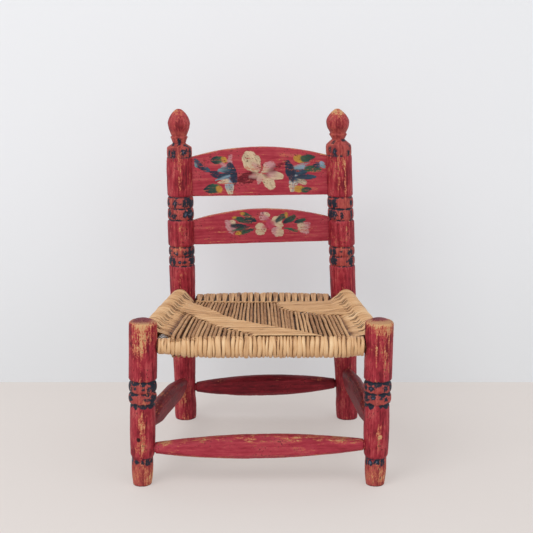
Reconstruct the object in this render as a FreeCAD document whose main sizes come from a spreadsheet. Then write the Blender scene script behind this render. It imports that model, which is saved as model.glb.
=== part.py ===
"""Painted ladder-back child's chair with a wound palm seat.

Millimetres. +X is the sitter's left-to-right as seen from the front, +Y runs to the back, +Z is up.
The origin is on the floor under the middle of the chair's outer box.
"""
import FreeCAD, Part
import math
import os
import Sketcher

SIZES = {
    # Where the four uprights stand and how they lean
    "seat_depth": 257.2,
    "front_foot_spread": 297.6,
    "front_top_spread": 294.2,
    "front_top_right": 3.5,
    "rear_foot_spread": 240.5,
    "rear_foot_right": 10.0,
    "rear_top_spread": 224.3,
    "rear_top_left": 2.6,
    "foot_trim": 2.0,
    # Front legs
    "leg_radius": 17.8,
    "leg_dome": 3.3,
    "leg_edge": 4.5,
    "leg_tip_radius": 11.4,
    "leg_foot_height": 36.3,
    "leg_foot_curve": 150.0,
    "leg_neck_radius": 13.4,
    "leg_neck_rise": 5.0,
    "leg_lower_radius": 16.3,
    "leg_lower_swell": 0.9,
    "leg_bead_height": 108.5,
    "leg_bead_length": 14.7,
    "leg_bead_depth": 1.8,
    "leg_shoulder_rise": 3.5,
    "leg_upper_length": 80.7,
    # Rear posts
    "post_tip_radius": 12.8,
    "post_ankle_radius": 17.0,
    "post_ankle_height": 34.0,
    "post_ankle_curve": 60.0,
    "post_radius": 18.75,
    "post_middle_radius": 19.2,
    "post_upper_radius": 18.6,
    "post_bead_depth": 0.95,
    "post_groove_rise": 3.0,
    "post_lower_length": 232.5,
    "post_low_bead_length": 13.9,
    "post_middle_length": 38.9,
    "post_high_bead_length": 16.7,
    "post_upper_length": 58.9,
    # Turned tops of the rear posts
    "band_groove": 1.0,
    "band_rise": 2.0,
    "band_length": 7.0,
    "shoulder_curve": 18.0,
    "shoulder_length": 10.2,
    "neck_radius": 9.65,
    "neck_length": 2.0,
    "collar_radius": 12.05,
    "collar_rise": 4.4,
    "collar_fall": 2.8,
    "finial_base_radius": 10.55,
    "finial_radius": 16.15,
    "finial_lower_length": 18.1,
    "finial_upper_length": 17.4,
    "nub_radius": 4.2,
    "nub_height": 2.6,
    # Round tenons and their blind sockets
    "tenon_radius": 5.7,
    "socket_wall": 1.0,
    "fit_clearance": 0.2,
    "end_clearance": 0.5,
    "shoulder_clearance": 0.3,
    # Hewn stretchers
    "stretcher_end_radius": 7.2,
    "stretcher_middle_radius": 15.6,
    "stretcher_flat": 20.0,
    "stretcher_facet": 27.0,
    "front_stretcher_left_height": 47.7,
    "front_stretcher_right_height": 53.0,
    "rear_stretcher_left_height": 46.6,
    "rear_stretcher_right_height": 53.0,
    "left_stretcher_front_height": 75.0,
    "left_stretcher_rear_height": 57.0,
    "right_stretcher_front_height": 75.0,
    "right_stretcher_rear_height": 73.0,
    # Back slats
    "slat_thickness": 9.0,
    "mortise_floor": 7.5,
    "top_slat_left_rise": 0.2,
    "top_slat_right_rise": 2.9,
    "top_slat_end": 56.2,
    "top_slat_crown": 69.2,
    "lower_slat_left_rise": 1.7,
    "lower_slat_right_rise": 8.2,
    "lower_slat_end": 34.8,
    "lower_slat_crown": 48.8,
    # Seat rails and the palm wound round them
    "cross_rail_radius": 8.5,
    "side_rail_radius": 9.5,
    "front_rail_drop": 36.4,
    "seat_fall": 5.8,
    "left_rail_front_lift": 4.4,
    "right_rail_front_lift": 0.2,
    "side_rail_rear_lift": 6.5,
    "warp_radius": 2.4,
    "warp_pitch": 10.9,
    "weft_radius": 1.8,
    "weft_pitch": 9.3,
    "weave_clearance": 0.3,
    "weave_slack": 0.3,
    "strand_tail": 20.0,
}


class Size:
    """A length that knows its value and the expression that gives it."""

    def __init__(self, value, text):
        self.value = value
        self.text = text

    def _with(self, other, value, sign, swap=False):
        other_text = other.text if isinstance(other, Size) else repr(float(other))
        left, right = (other_text, self.text) if swap else (self.text, other_text)
        return Size(value, f"({left} {sign} {right})")

    def __add__(self, other):
        return self._with(other, self.value + plain(other), "+")

    def __radd__(self, other):
        return self._with(other, plain(other) + self.value, "+", swap=True)

    def __sub__(self, other):
        return self._with(other, self.value - plain(other), "-")

    def __rsub__(self, other):
        return self._with(other, plain(other) - self.value, "-", swap=True)

    def __mul__(self, other):
        return self._with(other, self.value * plain(other), "*")

    def __rmul__(self, other):
        return self._with(other, plain(other) * self.value, "*", swap=True)

    def __truediv__(self, other):
        return self._with(other, self.value / plain(other), "/")


def plain(length):
    """The number behind a Size or a bare number."""
    return length.value if isinstance(length, Size) else float(length)


def root_of(length):
    return Size(math.sqrt(length.value), f"sqrt({length.text})")


class Sizes:
    """Every named size of the sheet, as Size values."""

    def __init__(self, sheet):
        for name in SIZES:
            setattr(self, name, Size(float(sheet.get(name)), f"sizes.{name}"))


doc = FreeCAD.newDocument("ChildChair")
sheet = doc.addObject("Spreadsheet::Sheet", "sizes")
for row, (name, number) in enumerate(SIZES.items(), start=1):
    sheet.set(f"A{row}", name)
    sheet.set(f"B{row}", str(number))
    sheet.setAlias(f"B{row}", name)
doc.recompute()
size = Sizes(sheet)
ZERO = Size(0.0, "0")
UP = FreeCAD.Vector(0, 0, 1)
parts = []


def vector(point):
    return FreeCAD.Vector(*(plain(coordinate) for coordinate in point))


def distance(start, end):
    total = sum((b - a) * (b - a) for a, b in zip(start, end))
    return root_of(total)


def sagitta_radius(chord, rise):
    """Radius of the arc that stands `rise` proud of its chord."""
    return (chord * chord / 4 + rise * rise) / (2 * rise)


def quarter_radius(width, height):
    """Radius of the arc that starts level or upright and covers width and height."""
    return (width * width + height * height) / (2 * width)


# Turned pieces: a half outline of stations, swept round the upright axis
def bind(sketch, kind, geometry, position, length):
    index = sketch.addConstraint(Sketcher.Constraint(kind, -1, 1, geometry, position, length.value))
    sketch.setExpression(f"Constraints[{index}]", length.text)


def arc_between(start, end, radius):
    """Arc from start up to end that bulges away from the axis."""
    chord = end - start
    middle = (start + end) / 2
    inward = FreeCAD.Vector(-chord.y, chord.x, 0).normalize()
    centre = middle + inward * math.sqrt(radius ** 2 - (chord.Length / 2) ** 2)
    angles = [math.atan2(point.y - centre.y, point.x - centre.x) for point in (start, end)]
    return Part.ArcOfCircle(Part.Circle(centre, UP, radius), *angles)


def outlined(body, label, stations):
    """Closed sketch through stations (across, height, radius of the arc to the next station)."""
    sketch = body.newObject("Sketcher::SketchObject", label + "_outline")
    plane = [item for item in body.Origin.OriginFeatures if item.Role == "XZ_Plane"][0]
    sketch.AttachmentSupport = (plane, [""])
    sketch.MapMode = "FlatFace"
    points = [FreeCAD.Vector(across.value, height.value, 0) for across, height, _ in stations]
    following = points[1:] + points[:1]
    for start, end, (_, _, curve) in zip(points, following, stations):
        straight = Part.LineSegment(start, end)
        sketch.addGeometry(straight if curve is None else arc_between(start, end, curve.value), False)
    for index, (across, height, curve) in enumerate(stations):
        sketch.addConstraint(Sketcher.Constraint("Coincident", index, 2, (index + 1) % len(stations), 1))
        if across is ZERO:
            sketch.addConstraint(Sketcher.Constraint("PointOnObject", index, 1, -2))
        else:
            bind(sketch, "DistanceX", index, 1, across)
        if height is ZERO:
            sketch.addConstraint(Sketcher.Constraint("PointOnObject", index, 1, -1))
        else:
            bind(sketch, "DistanceY", index, 1, height)
        if curve is not None:
            number = sketch.addConstraint(Sketcher.Constraint("Radius", index, curve.value))
            sketch.setExpression(f"Constraints[{number}]", curve.text)
    return sketch


def turned(label, stations):
    """Body turned about the upright axis from half-outline stations."""
    body = doc.addObject("PartDesign::Body", label + "_turning")
    sketch = outlined(body, label, stations)
    turning = body.newObject("PartDesign::Revolution", label + "_round")
    turning.Profile = sketch
    turning.ReferenceAxis = (sketch, ["V_Axis"])
    turning.Angle = 360
    return body


# Height of a front leg: its lower part, two beads and the plain length above them
leg_height = size.leg_bead_height + 2 * size.leg_bead_length + size.leg_upper_length


def leg_stations():
    base = size.foot_trim
    bead_low = base + size.leg_bead_height
    bead_middle = bead_low + size.leg_bead_length
    bead_high = bead_middle + size.leg_bead_length
    groove = size.leg_radius - size.leg_bead_depth
    bead_curve = sagitta_radius(size.leg_bead_length, size.leg_bead_depth)
    shaft_start = base + size.leg_foot_height + size.leg_neck_rise
    shaft_end = size.leg_lower_radius - size.leg_lower_swell
    shaft_curve = sagitta_radius(bead_low - shaft_start, size.leg_lower_swell)
    crown = base + leg_height
    rim = crown - size.leg_dome
    flat = size.leg_radius - size.leg_edge
    return [
        (ZERO, ZERO, None),
        (size.leg_tip_radius, ZERO, size.leg_foot_curve),
        (size.leg_neck_radius, base + size.leg_foot_height, None),
        (shaft_end, shaft_start, shaft_curve),
        (shaft_end, bead_low, None),
        (groove, bead_low + size.fit_clearance, bead_curve),
        (groove, bead_middle, bead_curve),
        (groove, bead_high, None),
        (size.leg_radius, bead_high + size.leg_shoulder_rise, None),
        (size.leg_radius, rim - size.leg_edge, size.leg_edge),
        (flat, rim, quarter_radius(size.leg_dome, flat)),
        (ZERO, crown, None),
    ]


def post_radius_at(height):
    """Radius of a rear post between its ankle and its lower beads."""
    run = size.post_lower_length - size.post_ankle_height
    growth = size.post_radius - size.post_ankle_radius
    return size.post_ankle_radius + growth * (height - size.post_ankle_height) / run


def bead_pair(start, length, groove):
    """Two rounded beads between three grooves of one radius."""
    curve = sagitta_radius(length, size.post_bead_depth)
    return [(groove, start, curve), (groove, start + length, curve), (groove, start + 2 * length, None)]


# Heights along a rear post, each stretch standing on the one below
post_low_top = size.post_lower_length + 2 * size.post_low_bead_length
post_high_start = post_low_top + size.post_middle_length
post_high_top = post_high_start + 2 * size.post_high_bead_length
post_band = post_high_top + size.post_upper_length
post_shoulder = post_band + size.band_rise + size.band_length
post_neck = post_shoulder + size.shoulder_length
post_collar = post_neck + size.neck_length + size.collar_rise
post_finial = post_collar + size.collar_fall
post_widest = post_finial + size.finial_lower_length
post_nub = post_widest + size.finial_upper_length
post_height = post_nub + size.nub_height


def post_stations():
    base = size.foot_trim
    groove = size.post_radius - size.post_bead_depth
    low = base + size.post_lower_length
    high = base + post_high_start
    low_end = base + post_low_top
    high_end = base + post_high_top
    band = base + post_band
    band_start = band + size.band_rise
    shoulder = base + post_shoulder
    neck = base + post_neck
    collar = base + post_collar
    finial = base + post_finial
    widest = base + post_widest
    nub = base + post_nub
    tip = base + post_height
    band_radius = size.post_upper_radius - size.band_groove / 2
    lower_curve = quarter_radius(size.finial_radius - size.finial_base_radius, size.finial_lower_length)
    upper_curve = quarter_radius(size.finial_radius - size.nub_radius, size.finial_upper_length)
    return [
        (ZERO, ZERO, None),
        (size.post_tip_radius, ZERO, size.post_ankle_curve),
        (size.post_ankle_radius, base + size.post_ankle_height, None),
        (size.post_radius, low - size.fit_clearance, None),
        *bead_pair(low, size.post_low_bead_length, groove),
        (size.post_middle_radius, low_end + size.post_groove_rise, None),
        (size.post_middle_radius, high - size.post_groove_rise, None),
        *bead_pair(high, size.post_high_bead_length, groove),
        (size.post_upper_radius, high_end + size.post_groove_rise, None),
        (size.post_upper_radius, band - size.post_groove_rise, None),
        (size.post_upper_radius - size.band_groove, band, None),
        (band_radius, band_start, None),
        (band_radius, shoulder, size.shoulder_curve),
        (size.neck_radius, neck, None),
        (size.neck_radius, neck + size.neck_length, None),
        (size.collar_radius, collar, None),
        (size.finial_base_radius, finial, lower_curve),
        (size.finial_radius, widest, upper_curve),
        (size.nub_radius, nub, quarter_radius(size.nub_height, size.nub_radius)),
        (ZERO, tip, None),
    ]


# The four uprights: a foot point, a top point and a height each
class Upright:
    def __init__(self, label, foot_x, top_x, place_y, height, stations):
        self.label = label
        self.foot_x = foot_x
        self.top_x = top_x
        self.place_y = place_y
        self.height = height
        self.stations = stations
        self.cutters = []

    def point(self, height):
        lean = (self.top_x - self.foot_x) / self.height
        return (self.foot_x + lean * height, self.place_y, height)

    def direction(self):
        return (vector(self.point(self.height)) - vector(self.point(ZERO))).normalize()

    def reach(self, side):
        """Furthest x of the turned surface, left (-1) or right (+1)."""
        return max((self.point(height)[0] * side + radius for radius, height, _ in self.stations), key=plain)


def place_uprights():
    """Uprights laid out so that the outer box is centred on the origin."""
    front = (size.post_middle_radius - size.leg_radius - size.seat_depth) / 2 - size.post_middle_radius
    front = front + size.leg_radius
    rows = [
        ("front_leg", size.front_foot_spread, ZERO, size.front_top_spread, size.front_top_right,
         front, leg_height, leg_stations()),
        ("rear_post", size.rear_foot_spread, size.rear_foot_right, size.rear_top_spread,
         ZERO - size.rear_top_left, front + size.seat_depth, post_height, post_stations()),
    ]
    uprights = {}
    for row, foot_spread, foot_right, top_spread, top_right, place_y, height, stations in rows:
        for hand, side in (("left", -1), ("right", 1)):
            label = f"{row}_{hand}"
            foot_x = foot_right + side * foot_spread / 2
            top_x = top_right + side * top_spread / 2
            uprights[label] = Upright(label, foot_x, top_x, place_y, height, stations)
    middle = (uprights["front_leg_right"].reach(1) - uprights["front_leg_left"].reach(-1)) / 2
    for upright in uprights.values():
        upright.foot_x = upright.foot_x - middle
        upright.top_x = upright.top_x - middle
    return uprights


uprights = place_uprights()
leg_left = uprights["front_leg_left"]
leg_right = uprights["front_leg_right"]
post_left = uprights["rear_post_left"]
post_right = uprights["rear_post_right"]


# Round members: turned bars whose tenons sit in blind sockets of two uprights.
# A socket stops short of the axis, so that sockets from two sides keep a wall between them.
socket_floor = size.tenon_radius + size.fit_clearance + size.socket_wall


def along(start, end):
    """Rotation that stands a piece made along +Z along the line from start to end, its flats upright."""
    run = (vector(end) - vector(start)).normalize()
    across = run.cross(UP).normalize()
    return FreeCAD.Rotation(across, run.cross(across) * -1, run, "ZXY")


def socket(upright, start, end):
    """Blind hole in an upright for the tenon of a bar that runs from start to end."""
    hole = doc.addObject("Part::Cylinder", upright.label + "_socket")
    hole.setExpression("Radius", (size.tenon_radius + size.fit_clearance).text)
    hole.setExpression("Height", (2 * size.post_middle_radius).text)
    turn = along(start, end)
    hole.Placement = FreeCAD.Placement(vector(start) + turn.multVec(UP) * socket_floor.value, turn)
    upright.cutters.append(hole)


def bar_frame(first, second):
    """End points of a bar between two (upright, height, radius) joints, with its tenon and shoulder ends."""
    start = first[0].point(first[1])
    end = second[0].point(second[1])
    socket(first[0], start, end)
    socket(second[0], end, start)
    tenon = socket_floor + size.end_clearance
    length = distance(start, end) - 2 * tenon
    near = first[2] + size.shoulder_clearance - tenon
    far = length - (second[2] + size.shoulder_clearance - tenon)
    turn = along(start, end)
    base = vector(start) + turn.multVec(UP) * tenon.value
    return FreeCAD.Placement(base, turn), length, near, far


def rail(label, first, second, radius):
    placement, length, near, far = bar_frame(first, second)
    body = turned(label, [
        (ZERO, ZERO, None),
        (size.tenon_radius, ZERO, None),
        (size.tenon_radius, near, None),
        (radius, near, None),
        (radius, far, None),
        (size.tenon_radius, far, None),
        (size.tenon_radius, length, None),
        (ZERO, length, None),
    ])
    body.Placement = placement
    body.Label = label
    parts.append(body)


def facet_box(label, placement, length, width, turn):
    """Long box whose faces hew two opposite flats on a bar, turned about the bar's axis."""
    box = doc.addObject("Part::Box", label)
    reach = 4 * size.stretcher_middle_radius
    box.setExpression("Length", width.text)
    box.setExpression("Width", reach.text)
    box.setExpression("Height", length.text)
    corner = FreeCAD.Vector(-width.value / 2, -reach.value / 2, 0)
    spin = FreeCAD.Rotation(UP, turn)
    box.Placement = placement.multiply(FreeCAD.Placement(spin.multVec(corner), spin))
    return box


def stretcher(label, first, second):
    placement, length, near, far = bar_frame(first, second)
    rise = size.stretcher_middle_radius - size.stretcher_end_radius
    body = turned(label, [
        (ZERO, ZERO, None),
        (size.tenon_radius, ZERO, None),
        (size.tenon_radius, near, None),
        (size.stretcher_end_radius, near, sagitta_radius(far - near, rise)),
        (size.stretcher_end_radius, far, None),
        (size.tenon_radius, far, None),
        (size.tenon_radius, length, None),
        (ZERO, length, None),
    ])
    body.Placement = placement
    hewn = doc.addObject("Part::MultiCommon", label)
    flats = [(size.stretcher_flat, 0), (size.stretcher_facet, 45), (size.stretcher_facet, -45)]
    hewn.Shapes = [body] + [facet_box(f"{label}_facet", placement, length, *flat) for flat in flats]
    hewn.Label = label
    parts.append(hewn)


# Back slats: arched boards whose ends sit in mortises of the rear posts
def mortise(upright, placement, floor, height, inward):
    """Slot in a rear post for a slat end, open towards the slat."""
    slot = doc.addObject("Part::Box", upright.label + "_mortise")
    depth = 2 * size.post_middle_radius
    clearance = size.fit_clearance
    slot.setExpression("Length", depth.text)
    slot.setExpression("Width", (size.slat_thickness + 2 * clearance).text)
    slot.setExpression("Height", (height + 2 * clearance).text)
    left = floor.value if inward > 0 else floor.value - depth.value
    corner = FreeCAD.Vector(left, -size.slat_thickness.value / 2 - clearance.value, -clearance.value)
    slot.Placement = placement.multiply(FreeCAD.Placement(corner, FreeCAD.Rotation()))
    upright.cutters.append(slot)


def slat(label, left_height, right_height, end, crown):
    start = post_left.point(left_height)
    finish = post_right.point(right_height)
    half = distance(start, finish) / 2
    tenon = half - size.mortise_floor - size.end_clearance
    arch = half - size.post_upper_radius + size.end_clearance
    body = doc.addObject("PartDesign::Body", label)
    sketch = outlined(body, label, [
        (ZERO - tenon, ZERO, None),
        (tenon, ZERO, None),
        (tenon, end, None),
        (arch, end, sagitta_radius(2 * arch, crown - end)),
        (ZERO - arch, end, None),
        (ZERO - tenon, end, None),
    ])
    board = body.newObject("PartDesign::Pad", label + "_board")
    board.Profile = sketch
    board.Midplane = True
    board.setExpression("Length", size.slat_thickness.text)
    run = vector(finish) - vector(start)
    tilt = FreeCAD.Rotation(FreeCAD.Vector(0, -1, 0), math.degrees(math.atan2(run.z, run.x)))
    middle = FreeCAD.Placement((vector(start) + vector(finish)) / 2, tilt)
    body.Placement = middle
    body.Label = label
    floor = half - size.mortise_floor
    mortise(post_left, middle, ZERO - floor, end, 1)
    mortise(post_right, middle, floor, end, -1)
    parts.append(body)


# The palm seat: two unbroken windings, each a round strand on straight runs and quarter turns
def rounded_path(corners, radius):
    """Edges through the corners, every inner corner turned by an arc of one radius."""
    edges = []
    samples = []
    last = corners[0]
    for before, corner, after in zip(corners, corners[1:], corners[2:]):
        back = (before - corner).normalize()
        ahead = (after - corner).normalize()
        half_turn = (math.pi - back.getAngle(ahead)) / 2
        cut = radius * math.tan(half_turn)
        start = corner + back * cut
        end = corner + ahead * cut
        inward = (back + ahead).normalize()
        centre = corner + inward * (radius / math.cos(half_turn))
        bulge = centre - inward * radius
        edges.append(Part.LineSegment(last, start).toShape())
        edges.append(Part.Arc(start, bulge, end).toShape())
        last = end
    edges.append(Part.LineSegment(last, corners[-1]).toShape())
    for edge in edges:
        samples.append(edge.discretize(Number=max(3, int(edge.Length / SAMPLE_STEP))))
    return edges, samples


SAMPLE_STEP = 4.0
LOOP_EDGES = 8


def least_gap(samples, radius):
    """Smallest clear distance between parts of the winding half a loop or more apart."""
    least = math.inf
    for index, first in enumerate(samples):
        for second in samples[index + LOOP_EDGES // 2:index + 2 * LOOP_EDGES + 1]:
            for point in first:
                least = min(least, min(point.distanceToPoint(other) for other in second))
    return least - 2 * radius


def winding(label, corners, turn_radius, strand_radius):
    edges, samples = rounded_path(corners, turn_radius)
    path = Part.Wire(edges)
    heading = (corners[1] - corners[0]).normalize()
    section = Part.Wire(Part.Circle(corners[0], heading, strand_radius).toShape())
    strand = path.makePipeShell([section], True, False)
    expected = math.pi * strand_radius ** 2 * path.Length
    print(f"{label}: strand {path.Length:.0f} mm, volume {strand.Volume:.0f} of {expected:.0f} mm3,"
          f" least self-gap {least_gap(samples, strand_radius):.2f} mm")
    piece = doc.addObject("Part::Feature", label)
    piece.Shape = strand
    piece.Label = label
    parts.append(piece)


def spread(first, last, pitch):
    """Evenly spaced shares from 0 to 1 for strands laid about one pitch apart."""
    steps = max(2, int(abs(last - first) / pitch))
    return [step / steps for step in range(steps + 1)]


def between(start, end, share):
    return start + (end - start) * share


def belt_corners(near_line, far_line, shares, reach):
    """Corners of a winding over two bars, each line a function of the share along its bar.

    The strand goes over the bars straight and steps on to its next place underneath.
    """
    corners = []
    lift = UP * (reach + size.weave_slack.value)
    for share in shares:
        near, far = near_line(share), far_line(share)
        across = (far - near).normalize()
        out = across * reach
        if not corners:
            corners.append(near - out - lift + across * (reach + size.strand_tail.value))
        corners.append(near - out - lift)
        corners.append(near - out + lift)
        corners.append(far + out + lift)
        corners.append(far + out - lift)
    corners.append(far + out - lift - across * (reach + size.strand_tail.value))
    return corners


def cross_rail_ends(left, right, height, radius):
    """Ends of the stretch of a cross rail that shows between two uprights."""
    start, end = vector(left.point(height)), vector(right.point(height))
    inset = (end - start).normalize() * (radius + size.warp_radius + size.weave_clearance).value
    return start + inset, end - inset


def wind_warp():
    turn = size.cross_rail_radius + size.warp_radius + size.weave_clearance
    front = cross_rail_ends(leg_left, leg_right, front_rail_height, size.leg_radius)
    rear = cross_rail_ends(post_left, post_right, rear_rail_height, size.post_radius)
    shares = spread(front[0].x, front[1].x, size.warp_pitch.value)
    corners = belt_corners(lambda share: between(*front, share), lambda share: between(*rear, share),
                           shares, turn.value)
    winding("seat_warp", corners, turn.value, size.warp_radius.value)


def wind_weft():
    turn = size.side_rail_radius + size.weft_radius + size.weave_clearance
    start = leg_left.place_y + size.leg_radius + size.weft_radius + size.weave_clearance
    end = post_left.place_y - size.post_radius - size.weft_radius - size.weave_clearance

    def side_line(leg, front_height, post):
        front, rear = vector(leg.point(front_height)), vector(post.point(side_rear_height))
        shares = [(limit.value - front.y) / (rear.y - front.y) for limit in (start, end)]
        return lambda share: between(front, rear, between(*shares, share))

    shares = spread(start.value, end.value, size.weft_pitch.value)
    left = side_line(leg_left, left_front_height, post_left)
    right = side_line(leg_right, right_front_height, post_right)
    corners = belt_corners(left, right, shares, turn.value)
    winding("seat_weft", corners, turn.value, size.weft_radius.value)


# Heights of the seat rails: the weft over the side rails lies on top of the warp, or a little above it
front_rail_height = leg_height - size.front_rail_drop
rear_rail_height = front_rail_height - size.seat_fall
weft_over_warp = (
    size.cross_rail_radius + 2 * size.warp_radius + size.weave_clearance - size.side_rail_radius
)
left_front_height = front_rail_height + weft_over_warp + size.left_rail_front_lift
right_front_height = front_rail_height + weft_over_warp + size.right_rail_front_lift
side_rear_height = rear_rail_height + weft_over_warp + size.side_rail_rear_lift

stretcher("stretcher_front",
          (leg_left, size.front_stretcher_left_height, size.leg_lower_radius),
          (leg_right, size.front_stretcher_right_height, size.leg_lower_radius))
stretcher("stretcher_rear",
          (post_left, size.rear_stretcher_left_height, post_radius_at(size.rear_stretcher_left_height)),
          (post_right, size.rear_stretcher_right_height, post_radius_at(size.rear_stretcher_right_height)))
stretcher("stretcher_left",
          (leg_left, size.left_stretcher_front_height, size.leg_lower_radius),
          (post_left, size.left_stretcher_rear_height, post_radius_at(size.left_stretcher_rear_height)))
stretcher("stretcher_right",
          (leg_right, size.right_stretcher_front_height, size.leg_lower_radius),
          (post_right, size.right_stretcher_rear_height, post_radius_at(size.right_stretcher_rear_height)))

rail("seat_rail_front",
     (leg_left, front_rail_height, size.leg_radius),
     (leg_right, front_rail_height, size.leg_radius), size.cross_rail_radius)
rail("seat_rail_rear",
     (post_left, rear_rail_height, size.post_radius),
     (post_right, rear_rail_height, size.post_radius), size.cross_rail_radius)
rail("seat_rail_left",
     (leg_left, left_front_height, size.leg_radius),
     (post_left, side_rear_height, size.post_radius), size.side_rail_radius)
rail("seat_rail_right",
     (leg_right, right_front_height, size.leg_radius),
     (post_right, side_rear_height, size.post_radius), size.side_rail_radius)

slat("top_slat", post_high_top + size.top_slat_left_rise, post_high_top + size.top_slat_right_rise,
     size.top_slat_end, size.top_slat_crown)
slat("lower_slat", post_low_top + size.lower_slat_left_rise, post_low_top + size.lower_slat_right_rise,
     size.lower_slat_end, size.lower_slat_crown)

wind_warp()
wind_weft()


# The uprights themselves: turned, drilled and mortised, and sawn level with the floor
def floor_box(upright):
    """Block under the floor that takes off the slanted end of a leaning foot."""
    block = doc.addObject("Part::Box", upright.label + "_floor")
    width = 4 * size.post_middle_radius
    depth = 4 * size.foot_trim
    for side, length in (("Length", width), ("Width", width), ("Height", depth)):
        block.setExpression(side, length.text)
    corner = FreeCAD.Vector(-width.value / 2, -width.value / 2, -depth.value)
    block.Placement = FreeCAD.Placement(vector(upright.point(ZERO)) + corner, FreeCAD.Rotation())
    return block


for upright in uprights.values():
    body = turned(upright.label, upright.stations)
    base = vector(upright.point(ZERO)) - upright.direction() * size.foot_trim.value
    body.Placement = FreeCAD.Placement(base, FreeCAD.Rotation(UP, upright.direction()))
    tools = doc.addObject("Part::MultiFuse", upright.label + "_cuts")
    tools.Shapes = upright.cutters + [floor_box(upright)]
    finished = doc.addObject("Part::Cut", upright.label)
    finished.Base = body
    finished.Tool = tools
    finished.Label = upright.label
    parts.append(finished)

doc.recompute()
for item in doc.Objects:
    if "Invalid" in item.State or "Error" in item.State:
        raise RuntimeError(f"{item.Label} did not build: {item.State}")
for piece in parts:
    if piece.Shape.isNull() or not piece.Shape.isValid() or not piece.Shape.Solids:
        raise RuntimeError(f"{piece.Label} has no valid solid")
os.makedirs("parts", exist_ok=True)
for piece in parts:
    piece.Shape.exportStep(f"parts/{piece.Label}.step")
    print(f"{piece.Label}: {len(piece.Shape.Solids)} solid, {piece.Shape.Volume / 1000:.1f} cm3")
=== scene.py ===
"""A painted ladder-back child's chair with a woven palm seat, in the frame of its packed build."""

import itertools
import math

import bpy
import numpy as np
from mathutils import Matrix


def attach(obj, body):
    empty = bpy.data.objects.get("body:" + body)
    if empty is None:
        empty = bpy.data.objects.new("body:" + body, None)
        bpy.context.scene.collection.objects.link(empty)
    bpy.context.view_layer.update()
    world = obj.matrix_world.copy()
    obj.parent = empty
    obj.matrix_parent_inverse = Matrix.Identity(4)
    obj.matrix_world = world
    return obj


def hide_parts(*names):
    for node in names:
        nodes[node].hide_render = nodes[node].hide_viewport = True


MM = 0.001
UP = np.array([0.0, 0.0, 1.0])
ASLANT = np.array([0.13, 1.0, 0.21])  # a direction that no piece runs along
CELL_FACTORS = np.array([73856093, 19349663, 83492791])
SEED_FACTOR = 26544357
MIX_FACTOR = 1274126177

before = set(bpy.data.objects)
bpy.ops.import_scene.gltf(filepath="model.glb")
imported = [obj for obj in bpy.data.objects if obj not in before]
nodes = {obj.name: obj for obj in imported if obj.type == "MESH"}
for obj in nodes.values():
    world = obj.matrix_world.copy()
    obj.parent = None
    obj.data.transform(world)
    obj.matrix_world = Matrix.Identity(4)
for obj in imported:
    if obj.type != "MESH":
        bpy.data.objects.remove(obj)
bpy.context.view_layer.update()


# Small helpers for numbers, points and noise


def ease_step(low, high, value):
    """0 below low, 1 above high, and a smooth rise between."""
    part = np.clip((value - low) / (high - low), 0.0, 1.0)
    return part * part * (3.0 - 2.0 * part)


def line_at(line, at, before=None, beyond=None):
    """The value at a place on a line of places and values, which may have other values off its ends."""
    places, values = np.array(line).T
    return np.interp(at, places, values, left=before, right=beyond)


def points_at(x, y, z):
    """Points from three coordinates, each an array or one number for all."""
    return np.stack(np.broadcast_arrays(x, y, z), axis=-1)


def lattice_noise(points, seed):
    """Smooth noise from -1 to 1 at points, on a lattice of unit cells."""
    cells = np.floor(points).astype(np.int64)
    ease = ease_step(0.0, 1.0, points - cells)
    total = np.zeros(len(points))
    for corner in itertools.product((0, 1), repeat=3):
        at = cells + np.array(corner)
        mixed = np.bitwise_xor.reduce(at * CELL_FACTORS, axis=1) ^ seed * SEED_FACTOR
        mixed = ((mixed ^ (mixed >> 13)) * MIX_FACTOR) & 0x7FFFFFFF
        mixed = (mixed ^ (mixed >> 15)) & 0xFFFF
        weight = np.prod(np.where(corner, ease, 1.0 - ease), axis=1)
        total += weight * (mixed / 32767.5 - 1.0)
    return total


def unit(vectors):
    return vectors / np.maximum(np.linalg.norm(vectors, axis=-1, keepdims=True), 1e-12)


def colour(red, green, blue):
    """A colour given as screen values from 0 to 255, as the linear values that shaders use."""
    shares = np.array([red, green, blue]) / 255.0
    linear = np.where(shares <= 0.04045, shares / 12.92, ((shares + 0.055) / 1.055) ** 2.4)
    return (*[float(value) for value in linear], 1.0)


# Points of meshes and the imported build's own lines, in mm


def read_vectors(items, field):
    """A field of three numbers for each of a mesh's points."""
    values = np.empty(len(items) * 3)
    items.foreach_get(field, values)
    return values.reshape(-1, 3)


def read_points(mesh):
    return read_vectors(mesh.vertices, "co") / MM


def write_points(mesh, points):
    mesh.vertices.foreach_set("co", (points * MM).ravel())
    mesh.update()


def middle(points):
    return (points.min(0) + points.max(0)) / 2.0


def end_points(node, axis, depth=2.5):
    """The points of a bar's two ends along a coordinate axis, low end first."""
    points = read_points(nodes[node].data)
    along = points[:, axis]
    return points[along < along.min() + depth], points[along > along.max() - depth]


def bar_ends(node, axis):
    """The middles of a bar's two ends."""
    low, high = end_points(node, axis)
    return middle(low), middle(high)


def on_bar(ends, axis, at):
    """The points of a bar's middle line where its coordinate along axis is at."""
    low, high = ends
    share = (np.asarray(at, float) - low[axis]) / (high[axis] - low[axis])
    return low + np.multiply.outer(share, high - low)


# Materials


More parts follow.
